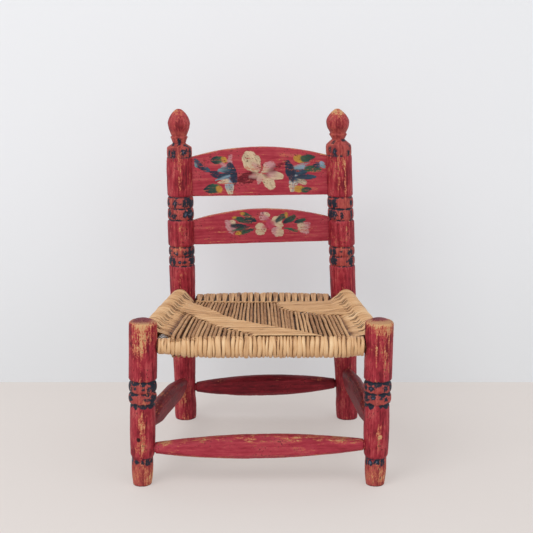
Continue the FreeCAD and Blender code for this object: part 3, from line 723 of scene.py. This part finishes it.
LOWER_STROKES = (
    ((-47, 31), (-40, 22), (5, 8, 5), 0.72, ROSE_WHITE),
    ((-44, 20), (-40, 14), (4, 5, 2), 0.6, ROSE_WHITE), ((-41, 33), (-37, 29), (2.5, 3.5, 2), 0.9, CREAM),
    ((57, 24), (66, 14), (5, 7.5, 4), 0.75, CREAM, ROSE_WHITE),
    ((66, 26), (70, 22), (4, 6, 3), 0.5, ROSE_WHITE), ((3, 37), (7, 40), (5, 7, 5), 0.88, ROSE_WHITE),
    ((8, 42), (12, 40), (2, 3, 2), 1.0, CREAM), ((18, 30), (26, 34), (4, 6.5, 5.5), 1.0, CREAM),
    ((24, 27), (29, 25), (4, 5, 4), 1.0, CREAM),
    ((20, 17), (27, 15), (5, 8, 6.5), 1.0, ROSE_WHITE, CREAM),
    ((2, 19), (-1, 17), (6, 8, 6.5), 0.9, CREAM), ((-5, 24), (1, 25), (3, 5, 4), 0.95, CREAM),
    ((12, 30), (14, 25), (5, 6.5, 5.5), 0.85, ROSE),
    ((10, 32), (7, 37), (3, 4.5, 2.5), 0.7, ROSE, ROSE_WHITE),
    ((17, 28), (22, 28), (2.5, 4, 2), 0.6, ROSE, ROSE_WHITE),
    ((8, 24), (1, 22), (2.5, 4, 2), 0.6, ROSE, ROSE_WHITE),
    ((-7, 32), (-24, 43), (2, 4, 2.5), 1.0, LEAF_DARK, LEAF),
    ((-24, 43), (-28, 44), (2, 2.5, 1.5), 1.0, YELLOW),
    ((-13, 30), (-36, 37), (1.5, 4, 2.5), 1.0, LEAF_DARK, LEAF),
    ((-36, 38), (-40, 38), (1.8, 2, 1.2), 1.0, YELLOW),
    ((-20, 25), (-41, 26), (1.2, 3.6, 2.8), 1.0, LEAF_DARK),
    ((-16, 24), (-41, 18), (1, 2, 1.2), 1.0, LEAF_DARK, LEAF),
    ((-8, 21), (-30, 15), (1, 3.5, 2.5), 1.0, LEAF_DARK, LEAF),
    ((-30, 15), (-35, 14), (2.5, 3.2, 2), 1.0, YELLOW),
    ((23, 31), (35, 40), (2.5, 4, 3), 1.0, LEAF_DARK, LEAF),
    ((37, 42), (38, 37), (2, 2.5, 1.5), 1.0, YELLOW),
    ((34, 29), (48, 36), (2, 4.5, 3.5), 1.0, LEAF_DARK, LEAF),
    ((50, 29), (63, 32), (1.5, 3.5, 2), 1.0, LEAF_DARK, LEAF),
    ((34, 21), (52, 16), (0.8, 2, 2), 1.0, LEAF),
)


def painted_picture(across, rise, strokes, seed):
    """The colour and cover of the brush strokes at each point of a slat's face."""
    picture = np.zeros((len(across), 4))
    places = np.stack([across, rise], axis=1)
    for number, (start, end, widths, cover, *shades) in enumerate(strokes):
        run = np.subtract(end, start)
        share = np.clip((places - start) @ run / (run @ run), 0.0, 1.0)
        away = places - (start + share[:, None] * run)
        straying = lattice_noise(points_at(across / 3.0, rise / 3.0, number + 0.5), seed)
        early, mid, late = widths
        rest = 1 - share
        half = early * rest * (1 - 2 * share) + 4 * mid * share * rest + late * share * (2 * share - 1)
        depth = half - np.hypot(away[:, 0], away[:, 1]) + 0.7 * straying
        sideways = away @ (-run[1], run[0]) / np.linalg.norm(run)
        bristle = lattice_noise(points_at(sideways / 1.1, share * 2.0, number + 0.5), seed + 1)[:, None]
        last_share = np.clip(share[:, None] + 0.5 * bristle, 0.0, 1.0)
        shade = np.array(shades[0]) * (1 - last_share) + np.array(shades[-1]) * last_share
        shade[:, :3] *= 1.0 + 0.3 * bristle
        soft = 1.0 + 3.0 * (1.0 - cover)
        laid = ease_step(-1.2 * soft, 1.5 * soft, depth)[:, None] * cover * (1.0 - 0.2 * np.abs(bristle))
        picture = picture * (1 - laid) + shade * laid
    bare = picture[:, 3:] < LEAST_COVER
    picture[:, :3] = np.where(bare, CREAM[:3], picture[:, :3] / np.maximum(picture[:, 3:], LEAST_COVER))
    return np.clip(picture, 0.0, 1.0)


def make_slat(node, strokes, right_grime, seed):
    """A slat with flowers on its front, worn edges, and darker towards its right end."""
    low_end, high_end = end_points(node, 0, depth=1.0)
    start = np.append(middle(low_end)[:2], low_end[:, 2].min())
    end = np.append(middle(high_end)[:2], high_end[:, 2].min())
    along = unit(end - start)
    mesh = remeshed(node, voxel=0.75)
    points, normals = roughen(mesh, seed, wave=0.28, dent=0.12)
    offset = points - (start + end) / 2.0
    across = offset @ along
    rise = offset @ np.array([-along[2], 0.0, along[0]])
    picture = painted_picture(across, rise, strokes, seed)
    picture[:, 3] *= ease_step(0.4, 0.8, -normals[:, 1])
    set_values(mesh, "picture", "FLOAT_COLOR", picture)
    edge = ease_step(0.15, 0.6, np.abs(normals[:, 2]))
    wear = 0.2 + 0.5 * edge + 0.3 * lattice_noise(points / 15.0, seed + 11)
    grime = right_grime * ease_step(20.0, 80.0, across)
    grain = axis_places(points, (start, end))
    show_painted(node, mesh, grain, flower_paint, "flower_slat", wear=wear, grime=grime)


make_leg("front_leg_left", LEFT_LEG_DABS, LEFT_LEG_WORN, (NAIL_SPOT,), (), 20)
make_leg("front_leg_right", RIGHT_LEG_DABS, RIGHT_LEG_WORN, (), (BARE_SPOT,), 27)
make_post("rear_post_left", LEFT_POST_DABS, LEFT_POST_WORN, LEFT_TOP, 50)
make_post("rear_post_right", RIGHT_POST_DABS, RIGHT_POST_WORN, RIGHT_TOP, 57)
make_stretcher("stretcher_front", 0, stretcher_paint, 0.14, 80)
# The rear and side stretchers take the darker paint, as painted shade under the seat
make_stretcher("stretcher_rear", 0, seat_shadow_paint, -0.14, 87)
make_stretcher("stretcher_left", 1, seat_shadow_paint, -0.08, 94)
make_stretcher("stretcher_right", 1, seat_shadow_paint, -0.08, 101)
make_slat("top_slat", TOP_STROKES, 0.0, 120)
make_slat("lower_slat", LOWER_STROKES, 0.09, 130)
for node in ("seat_rail_front", "seat_rail_rear", "seat_rail_left", "seat_rail_right"):
    nodes[node].data.materials.clear()
    nodes[node].data.materials.append(bare_rail)


# Strands and cords of the seat, in mm


FIBRE_SHIFT = 7.0  # between the fibres of a strand's top and underside
STRAND_SHIFT = 1000.0  # between the fibres of one strand and the next


def along_path(path, up):
    """The sideways and upward directions along a path, and the length run so far."""
    tangent = unit(np.gradient(path, axis=0))
    side = unit(np.cross(tangent, up))
    run = np.concatenate([[0.0], np.cumsum(np.linalg.norm(np.diff(path, axis=0), axis=1))])
    return side, np.cross(side, tangent), run


def smoothed(path, passes):
    for _ in range(passes):
        path = np.concatenate([path[:1], (path[:-2] + 2.0 * path[1:-1] + path[2:]) / 4.0, path[-1:]])
    return path


class Bundle:
    """Many strands in one mesh, each a closed tube of quads with its own tone and fibre places."""

    def __init__(self):
        self.points = []
        self.quads = []
        self.tones = []
        self.fibres = []
        self.count = 0

    def add(self, path, up, half_wide, half_thick, sides, tone):
        length = len(path)
        side, normal, run = along_path(path, up)
        turn = 2.0 * math.pi * (np.arange(sides) + 0.5) / sides
        wide = np.multiply.outer(np.broadcast_to(half_wide, length), np.cos(turn))
        thick = np.multiply.outer(np.broadcast_to(half_thick, length), np.sin(turn))
        points = path[:, None] + side[:, None] * wide[..., None] + normal[:, None] * thick[..., None]
        ring = np.arange(length * sides).reshape(length, sides)
        after = np.roll(ring, -1, axis=1)
        walls = np.stack([ring[:-1], ring[1:], after[1:], after[:-1]], axis=-1).reshape(-1, 4)
        steps = np.arange(sides // 2 - 1)
        cap = np.stack([steps, steps + 1, sides - 2 - steps, sides - 1 - steps], axis=-1)
        caps = np.concatenate([cap, cap[:, ::-1] + (length - 1) * sides])
        fibre_across = wide + FIBRE_SHIFT * (np.sin(turn) < 0)
        fibres = points_at(fibre_across, run[:, None], STRAND_SHIFT * len(self.points))
        self.quads.append(np.concatenate([walls, caps]) + self.count)
        self.points.append(points.reshape(-1, 3))
        self.fibres.append(fibres.reshape(-1, 3))
        self.tones.append(np.broadcast_to(np.reshape(tone, (-1, 1)), wide.shape).reshape(-1))
        self.count += length * sides

    def build(self, name, material, slot, *replaced):
        points = np.concatenate(self.points)
        quads = np.concatenate(self.quads)
        mesh = bpy.data.meshes.new(name)
        mesh.vertices.add(len(points))
        mesh.vertices.foreach_set("co", (points * MM).ravel())
        mesh.loops.add(quads.size)
        mesh.loops.foreach_set("vertex_index", quads.ravel())
        mesh.polygons.add(len(quads))
        mesh.polygons.foreach_set("loop_start", np.arange(0, quads.size, 4))
        mesh.update(calc_edges=True)
        set_values(mesh, "tone", "FLOAT", np.concatenate(self.tones))
        set_values(mesh, "fibre", "FLOAT_VECTOR", np.concatenate(self.fibres) * MM)
        show(name, mesh, material, slot, *replaced)


draw = np.random.default_rng(11)

front_bar = bar_ends("seat_rail_front", 0)
rear_bar = bar_ends("seat_rail_rear", 0)
left_bar = bar_ends("seat_rail_left", 1)
right_bar = bar_ends("seat_rail_right", 1)
FRONT_RAIL_Y, FRONT_RAIL_Z = front_bar[0][1:]
REAR_RAIL_Y, REAR_RAIL_Z = rear_bar[0][1:]

# Where the front winding and the cords begin and end, from left to right
WRAP_LEFT, WRAP_RIGHT = -127.5, 128.5
FRONT_LEFT, FRONT_RIGHT = -112.0, 112.0
REAR_LEFT, REAR_RIGHT = -94.0, 98.5
CORDS = 42
FRONT_PITCH = 5.3
REAR_PITCH = (REAR_RIGHT - REAR_LEFT) / CORDS

# Radii of the windings round the front, rear and side rails, and how they change from left to right
FRONT_WRAP, REAR_WRAP, ROLL = 12.9, 12.5, 12.8
FRONT_REACH = ((-128, 8.9), (-105, 10.1), (-85, 12.1), (-65, 12.9), (100, 12.9), (112, 12.4), (129, 11.0))
REAR_REACH = ((-94, 10.2), (-70, 11.6), (-30, 12.6), (10, 12.9), (50, 12.5), (98, 11.3))
WRAP_STEPS = 28
CORD_ARC, PLAIN_ARC, BENEATH_ARC = (106.0, 318.0), (28.0, 386.0), (40.0, 326.0)  # degrees, 90 is up
REAR_ARC = (114.0, -96.0)
REAR_SLOPE_STEPS, REAR_OVER_STEPS = 8, 24

# The field of cords: its ends, the ridge at its rear, and how far cross strands lie above and below the cords
FIELD_REAR_Y = REAR_RAIL_Y - 13.2
FIELD_FRONT_Z, FIELD_REAR_Z = FRONT_RAIL_Z + FRONT_WRAP - 0.6, REAR_RAIL_Z + 3.4
EDGE_RISE = 3.0
RIDGE_Y = FIELD_REAR_Y - 12.0
CORD_TOP, CORD_BELOW = 2.1, 4.6
CORD_STEP = 1.7  # between the points of a cord

# The cross strands: their number, their rows' ends on the side rolls and in the field, and turns round a roll
ROWS = 92
ROLL_FRONT_Y, ROLL_REAR_Y = -110.0, 108.0
ROW_FRONT_Y, ROW_REAR_Y = -131.0, RIDGE_Y - 1.0
ROW_STEP = 2.3  # between the points of a cross strand
ROW_HALF_WIDE, ROW_HALF_THICK = 1.42, 0.65
ROLL_TURNS = np.linspace(-135.0, 158.0, 34)
FRINGE = ease_step(114.0, 140.0, ROLL_TURNS)

# The woven pattern: the pale band across the seat and the pale rear right corner
BAND_UPPER = (
    (-104, 90), (-85, 71), (-64, 34), (-44, -7), (-28, -29), (-3, -54), (18, -72), (46, -96), (69, -121),
    (91, -138),
)
BAND_LOWER = ((-104, 11), (-85, -24), (-58, -72), (-43, -88), (-16, -118), (-6, -133))
CORNER = ((21, 84), (30, 53), (41, 34), (65, 16), (80, 2), (93, -7), (109, -7))
FAR_OFF = 200.0


def pale_share(x, y):
    """1 where the cross strands lie on top of the cords, 0 where the cords lie on top."""
    below_upper = line_at(BAND_UPPER, x, beyond=-FAR_OFF) - y
    above_lower = y - line_at(BAND_LOWER, x, before=14.0, beyond=-FAR_OFF)
    in_corner = y - line_at(CORNER, x, before=100.0, beyond=-6.7)
    in_corner = np.where(x < CORNER[0][0] - 5.0, -FAR_OFF, in_corner)
    return ease_step(-4.0, 4.0, np.maximum(np.minimum(below_upper, above_lower), in_corner))


def seat_share(y):
    return (y - FRONT_RAIL_Y) / (FIELD_REAR_Y - FRONT_RAIL_Y)


def cord_line(front, rear, y):
    return front + (rear - front) * seat_share(y)


def field_z(x, y):
    """The height of the cords' middle lines: they fall to the rear, and lie higher at the sides."""
    share = seat_share(y)
    left = cord_line(FRONT_LEFT, REAR_LEFT, y)
    right = cord_line(FRONT_RIGHT, REAR_RIGHT, y)
    edge = np.clip(np.abs(2.0 * (x - left) / (right - left) - 1.0), 0.0, 1.0)
    rise = EDGE_RISE * edge**2.5 * np.sin(math.pi * np.clip(share, 0.0, 1.0)) ** 0.6
    return FIELD_FRONT_Z + (FIELD_REAR_Z - FIELD_FRONT_Z) * share + rise


def uneven_places(low, high, count, spread):
    """The middles and widths of count bands of uneven width that fill the stretch from low to high."""
    widths = np.exp(draw.normal(0.0, spread, count))
    widths *= (high - low) / widths.sum()
    edges = low + np.concatenate([[0.0], np.cumsum(widths)])
    return (edges[1:] + edges[:-1]) / 2.0, widths


def wrap(bundle, at, reach, arc, half_wide, half_thick, lean, tone):
    """One strip wound round the front rail, from one angle to another about the rail's middle line."""
    share = np.linspace(0.0, 1.0, WRAP_STEPS)
    turn = np.radians(arc[0] + (arc[1] - arc[0]) * share)
    radial = points_at(0.0, np.cos(turn), np.sin(turn))
    path = on_bar(front_bar, 0, at) + radial * reach
    path[:, 0] += lean * (2.0 * share - 1.0) + 0.35 * np.sin(3.0 * turn + at)
    swell = 1.0 + 0.1 * np.sin(2.0 * turn + 1.7 * at)
    bundle.add(path, radial, half_wide * swell, half_thick, 10, tone)


# The front winding: strips that end in cords, plain strips beside them, and dark ones beneath, whose dark
# tone is painted shade in the gaps
front_wraps = Bundle()
front_places, front_widths = uneven_places(FRONT_LEFT, FRONT_RIGHT, CORDS, 0.26)
start_share = ease_step(0.0, 0.2, np.linspace(0.0, 1.0, WRAP_STEPS))
low_shade = ease_step(0.42, 0.75, np.linspace(0.0, 1.0, WRAP_STEPS))
for at, wide in zip(front_places, front_widths):
    reach = line_at(FRONT_REACH, at) + draw.normal(0.0, 0.28) + 0.14 * (wide - FRONT_PITCH)
    lean, tone = draw.normal(0.0, 0.7), draw.normal(0.64, 0.07)
    half_wide = wide * (0.38 + 0.11 * start_share)
    # Painted shade: a strip is darker where it comes out from under the cords, and darker towards its low end
    tone = tone - 0.15 * (1.0 - start_share) - 0.26 * low_shade
    wrap(front_wraps, at, reach, CORD_ARC, half_wide, 1.8, lean, tone)
for low, high in ((WRAP_LEFT, FRONT_LEFT), (FRONT_RIGHT, WRAP_RIGHT)):
    for at, wide in zip(*uneven_places(low, high, 4, 0.2)):
        reach = line_at(FRONT_REACH, at) + draw.normal(0.0, 0.2)
        lean, tone = draw.normal(0.0, 0.5), draw.normal(0.6, 0.07)
        wrap(front_wraps, at, reach, PLAIN_ARC, 0.53 * wide, 0.9, lean, tone)
# Painted shade: dark strips beneath, seen in the gaps between the strips above
for at in np.linspace(FRONT_LEFT + 1.0, FRONT_RIGHT - 1.0, CORDS + 2):
    reach = line_at(FRONT_REACH, at) - 1.6
    wrap(front_wraps, at, reach, BENEATH_ARC, 3.1, 0.8, draw.normal(0.0, 0.8), 0.16)
front_wraps.build("seat_front_wraps", strand_palm, "palm_cord", "seat_warp")

# The rear winding, pinched at the ridge, with dark strips beneath whose dark tone is painted shade in the
# gaps
rear_places = REAR_LEFT + REAR_PITCH * (np.arange(CORDS) + 0.5) + draw.normal(0.0, 0.25, CORDS)
rear_wraps = Bundle()


def rear_strip(at, reach, drop, half_wide, lean, tone):
    """One strip from the ridge on the cords up to the rear rail, over it and down behind."""
    turn = np.radians(np.linspace(*REAR_ARC, REAR_OVER_STEPS))
    radial = points_at(0.0, np.cos(turn), np.sin(turn))
    over = on_bar(rear_bar, 0, at) + radial * reach
    foot = np.array([at, RIDGE_Y, field_z(at, RIDGE_Y) + 1.2 - drop])
    slope = foot + (over[0] - foot) * np.linspace(0.0, 1.0, REAR_SLOPE_STEPS + 1)[:-1, None]
    path = np.concatenate([slope, over])
    path[:, 0] += lean * np.linspace(-1.0, 1.0, len(path))
    up = np.concatenate([np.broadcast_to(radial[0], slope.shape), radial])
    rear_wraps.add(path, unit(smoothed(up, 2)), half_wide, 1.2, 8, tone)


pinch = np.exp(-(((np.arange(REAR_SLOPE_STEPS + REAR_OVER_STEPS) - 2.0) / 4.0) ** 2))
half_wide = REAR_PITCH * (0.62 - 0.25 * pinch)
for number, at in enumerate(rear_places):
    reach = line_at(REAR_REACH, at) + draw.normal(0.0, 0.3)
    side = 1.0 if number % 2 == 0 else -1.0
    tone = draw.normal(0.34, 0.07) + 0.1 * pinch
    lean = draw.normal(0.0, 0.3) - 0.35 * side
    rear_strip(at + 0.1 * side * REAR_PITCH, reach, 0.0, half_wide, lean, tone)
# Painted shade: dark strips beneath, seen in the gaps between the strips above
for at in np.linspace(REAR_LEFT + 2.0, REAR_RIGHT - 2.0, CORDS):
    rear_strip(at, line_at(REAR_REACH, at) - 2.0, 2.2, 2.9, 0.0, -0.3)
rear_wraps.build("seat_rear_wraps", strand_palm, "palm_cord")


def plied(bundle, path, up, half_size, lay, tone):
    """A cord of two plies that twist round each other along a path."""
    side, normal, run = along_path(path, up)
    turn = 2.0 * math.pi * run / lay + draw.uniform(0.0, 6.0)
    size = np.broadcast_to(half_size, len(path))
    for ply in (0.0, math.pi):
        swing = side * np.cos(turn + ply)[:, None] + normal * np.sin(turn + ply)[:, None]
        ply_path = path + swing * (0.48 * size)[:, None]
        bundle.add(ply_path, up, 0.55 * size, 0.55 * size, 6, tone + draw.normal(0.0, 0.1))


def cord(bundle, number):
    """A cord from the front winding, over the front rail and back to the rear winding."""
    front, rear = front_places[number], rear_places[number]
    y = np.arange(FRONT_RAIL_Y, FIELD_REAR_Y + 2.0, CORD_STEP)
    wander = points_at(number * 3.7, y / 40.0, 0.0)
    sway = 0.8 * lattice_noise(wander, 5) * np.sin(math.pi * np.clip(seat_share(y), 0.0, 1.0))
    x = cord_line(front, rear, y) + sway
    z = field_z(x, y) + 0.4 * lattice_noise(wander * 2.0 + 9.0, 6) - 1.3 * pale_share(x, y)
    reach = z[0] - FRONT_RAIL_Z
    turn = np.radians(np.linspace(134.0, 96.0, 9))
    over = points_at(front, FRONT_RAIL_Y + reach * np.cos(turn), FRONT_RAIL_Z + reach * np.sin(turn))
    path = np.concatenate([over, points_at(x, y, z)])
    size = np.interp(path[:, 1], (FRONT_RAIL_Y, FIELD_REAR_Y), (2.25, 1.85))
    plied(bundle, path, UP, size * draw.normal(1.0, 0.08), draw.uniform(7.0, 10.0), draw.normal(0.58, 0.11))


for name, first, last in (("seat_cords_left", 0, CORDS // 2), ("seat_cords_right", CORDS // 2, CORDS)):
    cords = Bundle()
    for number in range(first, last):
        cord(cords, number)
    cords.build(name, cord_palm, "palm_cord")


def roll_arc(bar, y, outward, bunch):
    """A strand round a side rail from beneath, over the outside and the top, to the inner side.

    Its inner end is drawn towards the middle of its bunch.
    """
    turn = np.radians(ROLL_TURNS)
    radial = points_at(outward * np.cos(turn), 0.0, np.sin(turn))
    path = on_bar(bar, 1, y) + radial * (ROLL + draw.normal(0.0, 0.22))
    path[:, 1] += FRINGE * bunch
    return path, radial


def parting_strands(bundle, path, up, comb):
    """Short dark strands in the gap between two bunches, on the inner side of each roll, their dark tone
    painted shade in the gap.
    """
    raised = path + up * 0.7
    for side in (slice(None, len(path) // 2), slice(len(path) // 2, None)):
        held = comb[side] > draw.uniform(0.15, 0.7)
        taper = np.sin(math.pi * np.linspace(0.04, 0.96, held.sum())) ** 0.4
        bundle.add(raised[side][held], up[side][held], taper, 0.5, 6, draw.normal(0.18, 0.07))


def weft_row(bundle, share, bunch, parting, tone):
    """One cross strand round the left roll, over or under the cords, and round the right roll."""
    roll_y = ROLL_FRONT_Y + (ROLL_REAR_Y - ROLL_FRONT_Y) * share
    field_y = ROW_FRONT_Y + (ROW_REAR_Y - ROW_FRONT_Y) * share
    left, left_up = roll_arc(left_bar, roll_y, -1.0, bunch)
    right, right_up = roll_arc(right_bar, roll_y, 1.0, bunch)
    left_x, right_x = left[-1, 0], right[-1, 0]
    x = np.arange(left_x + 2.0, right_x - 1.5, ROW_STEP)
    inset = np.minimum(x - left_x, right_x - x)
    y = roll_y + (field_y - roll_y) * ease_step(0.0, 55.0, inset) + bunch * (1.0 - ease_step(0.0, 8.0, inset))
    y = y + 0.5 * lattice_noise(points_at(x / 22.0, share * 300.0, 0.0), 8)

    first_cord = cord_line(FRONT_LEFT, REAR_LEFT, y) - 1.0
    last_cord = cord_line(FRONT_RIGHT, REAR_RIGHT, y) + 1.0
    inner = np.clip(x, first_cord, last_cord)
    pale = pale_share(inner + draw.normal(0.0, 1.5), y)
    level = field_z(inner, y) - CORD_BELOW + (CORD_BELOW + CORD_TOP) * pale
    level = level + 0.3 * lattice_noise(points_at(x / 17.0, share * 400.0, 0.0), 9)
    off_left = np.clip((first_cord - x) / np.maximum(first_cord - left_x, 1.0), 0.0, 1.0)
    off_right = np.clip((x - last_cord) / np.maximum(right_x - last_cord, 1.0), 0.0, 1.0)
    level = level + (left[-1, 2] - level) * off_left**0.5 + (right[-1, 2] - level) * off_right**0.5

    field = points_at(x, y, level)
    path = smoothed(np.concatenate([left, field, right[::-1]]), 2)
    up = unit(smoothed(np.concatenate([left_up, np.broadcast_to(UP, field.shape), right_up[::-1]]), 3))
    # Painted shade: a strand is darkened where it lies hidden under the cords, and on the left roll's inner
    # slope beside the cords
    seen = np.clip(pale + 2.5 * np.maximum(off_left, off_right), 0.0, 1.0)
    shade = tone * seen + 0.05 * (1.0 - seen) - 0.07 * pale
    shade = shade - 0.16 * ease_step(0.0, 0.2, off_left) * (1.0 - pale)
    # Painted highlight: the strands are lightened on the rolls' inner sides and at the field's edges
    roll_shade = np.full(len(ROLL_TURNS), tone)
    comb = np.concatenate([FRINGE, 1.0 - ease_step(3.0, 11.0, inset), FRINGE[::-1]])
    shade = np.concatenate([roll_shade, shade, roll_shade]) + 0.08 * comb
    bundle.add(path, up, ROW_HALF_WIDE, ROW_HALF_THICK, 6, shade)
    if parting:
        parting_strands(bundle, path, up, comb)


bunch_sizes = draw.integers(5, 9, ROWS)
bunch_of = np.repeat(np.arange(ROWS), bunch_sizes)[:ROWS]
row_shares = (np.arange(ROWS) + draw.uniform(0.38, 0.62, ROWS)) / ROWS
bunch_middles = np.array([row_shares[bunch_of == number].mean() for number in bunch_of])
pulls = 0.3 * (bunch_middles - row_shares) * (ROLL_REAR_Y - ROLL_FRONT_Y)
row_tones = draw.normal(0.54, 0.11, ROWS)
row_partings = np.diff(bunch_of, prepend=0) > 0
for name, rows, replaced in (
    ("seat_strands_front", range(0, ROWS // 2), ("seat_weft",)),
    ("seat_strands_rear", range(ROWS // 2, ROWS), ()),
):
    strands = Bundle()
    for number in rows:
        weft_row(strands, row_shares[number], pulls[number], row_partings[number], row_tones[number])
    strands.build(name, strand_palm, "palm_strand", *replaced)

# The ridge cord, and the underside: cords from front to rear, and strands that pass over and under them
UNDER_FRONT_Y, UNDER_REAR_Y = -100.0, 106.0
UNDER_PATTERN = 42.0
under = Bundle()
ridge_x = np.arange(REAR_LEFT, REAR_RIGHT, 1.6)
ridge_wave = 0.5 * np.sin(math.pi * (ridge_x - REAR_LEFT) / REAR_PITCH)
ridge = points_at(ridge_x, RIDGE_Y, field_z(ridge_x, RIDGE_Y) + 1.8 + ridge_wave)
plied(under, ridge, UP, 1.3, 9.0, 0.55)
for front, rear in zip(front_places, rear_places):
    run = np.linspace(0.0, 1.0, 60)
    start = on_bar(front_bar, 0, front) - (0.0, 2.0, FRONT_WRAP)
    end = on_bar(rear_bar, 0, rear) - (0.0, -2.0, REAR_WRAP)
    path = start + np.multiply.outer(run, end - start)
    path[:, 2] += 0.5 * np.sin(9.0 * run + front)
    under.add(path, UP, 1.9, 1.1, 8, draw.normal(0.35, 0.1))
for number in range(ROWS // 2):
    roll_y = UNDER_FRONT_Y + (UNDER_REAR_Y - UNDER_FRONT_Y) * (number + 0.5) / (ROWS // 2)
    start = on_bar(left_bar, 1, roll_y) - (-3.0, 0.0, ROLL)
    end = on_bar(right_bar, 1, roll_y) - (3.0, 0.0, ROLL)
    run = np.linspace(0.0, 1.0, 90)
    path = start + np.multiply.outer(run, end - start)
    share = (path[:, 1] - FRONT_RAIL_Y) / (REAR_RAIL_Y - FRONT_RAIL_Y)
    cords_z = (FRONT_RAIL_Z - FRONT_WRAP) * (1.0 - share) + (REAR_RAIL_Z - REAR_WRAP) * share
    over = np.sign(np.sin((path[:, 0] + 0.8 * path[:, 1]) * math.pi / UNDER_PATTERN))
    path[:, 2] += (cords_z + 1.9 * over - path[:, 2]) * np.sin(math.pi * run) ** 0.25
    under.add(smoothed(path, 3), UP, 1.5, 0.6, 6, draw.normal(0.45, 0.1))
under.build("seat_under", strand_palm, "palm_strand")


# Camera, room and light, in m


PHOTO_SIDE = 533.0  # pixels
FOCAL = 1200.0  # pixels
SENSOR = 36.0  # mm
CAMERA_PLACE = (0.00736, -1.57535, 0.59056)
CAMERA_TILT = 11.974  # degrees down from level
WALL_Y = 0.300
ROOM = 6.0
CHAIR_MIDDLE = (0.0, 0.0, 0.2)

camera_data = bpy.data.cameras.new("camera")
camera_data.sensor_width = SENSOR
camera_data.lens = SENSOR * FOCAL / PHOTO_SIDE
camera = bpy.data.objects.new("camera", camera_data)
camera.location = CAMERA_PLACE
camera.rotation_euler = (math.radians(90.0 - CAMERA_TILT), 0.0, 0.0)
bpy.context.collection.objects.link(camera)
bpy.context.scene.camera = camera


def one_sided(shader):
    """Lets a floor or wall be seen from the room's side only."""
    back = shader.node("ShaderNodeNewGeometry", {}).outputs["Backfacing"]
    clear = shader.node("ShaderNodeBsdfTransparent", {}).outputs[0]
    mix = shader.node("ShaderNodeMixShader", {0: back, 1: shader.surface.outputs[0], 2: clear})
    shader.put(mix.outputs[0], shader.tree.nodes["Material Output"].inputs["Surface"])


def room_surface(name, dark, light, glow):
    """A faintly mottled matt surface with a little light of its own, dimmer low down on a wall."""
    shader = Shader(name)
    place = shader.object_place()
    height = shader.node("ShaderNodeSeparateXYZ", {0: place}).outputs["Z"]
    mottle = shader.noise(place, (1.5, 1.5, 1.5))
    level = shader.weighted((mottle, 0.15), (shader.step(height, -0.1, 0.4), 0.85))
    shade = shader.ramp(level, ((0.05, dark), (0.95, light)))
    shader.put(shade, shader.surface.inputs["Emission Color"])
    shader.put(glow, shader.surface.inputs["Emission Strength"])
    one_sided(shader)
    return shader.finish(shade, 0.9, 0.0)


def stage_plane(name, corners, material):
    mesh = bpy.data.meshes.new(name)
    mesh.from_pydata(corners, [], [(0, 1, 2, 3)])
    mesh.materials.append(material)
    plane = bpy.data.objects.new(name, mesh)
    bpy.context.collection.objects.link(plane)


stage_plane(
    "floor",
    [(-ROOM, -ROOM, 0.0), (ROOM, -ROOM, 0.0), (ROOM, ROOM, 0.0), (-ROOM, ROOM, 0.0)],
    room_surface("floor", colour(163, 158, 155), colour(167, 162, 159), 1.0),
)
stage_plane(
    "wall",
    [(-ROOM, WALL_Y, 0.0), (ROOM, WALL_Y, 0.0), (ROOM, WALL_Y, ROOM), (-ROOM, WALL_Y, ROOM)],
    room_surface("wall", colour(194, 196, 198), colour(203, 205, 208), 0.4),
)


def area_light(name, place, size, power):
    """A square light that faces the chair."""
    light = bpy.data.lights.new(name, "AREA")
    light.size = size
    light.energy = power
    lamp = bpy.data.objects.new(name, light)
    lamp.location = place
    x, y, z = np.subtract(place, CHAIR_MIDDLE)
    lamp.rotation_euler = (math.atan2(math.hypot(x, y), z), 0.0, math.atan2(x, -y))
    bpy.context.collection.objects.link(lamp)


area_light("key", (-1.1, -1.5, 1.8), 1.2, 19.0)
area_light("fill", (1.5, -1.6, 1.3), 1.6, 5.0)
world = bpy.data.worlds.new("world")
world.use_nodes = True
sky = world.node_tree.nodes["Background"]
sky.inputs["Color"].default_value = (1.0, 1.0, 1.0, 1.0)
sky.inputs["Strength"].default_value = 0.8
bpy.context.scene.world = world
bpy.context.scene.view_settings.view_transform = "Standard"
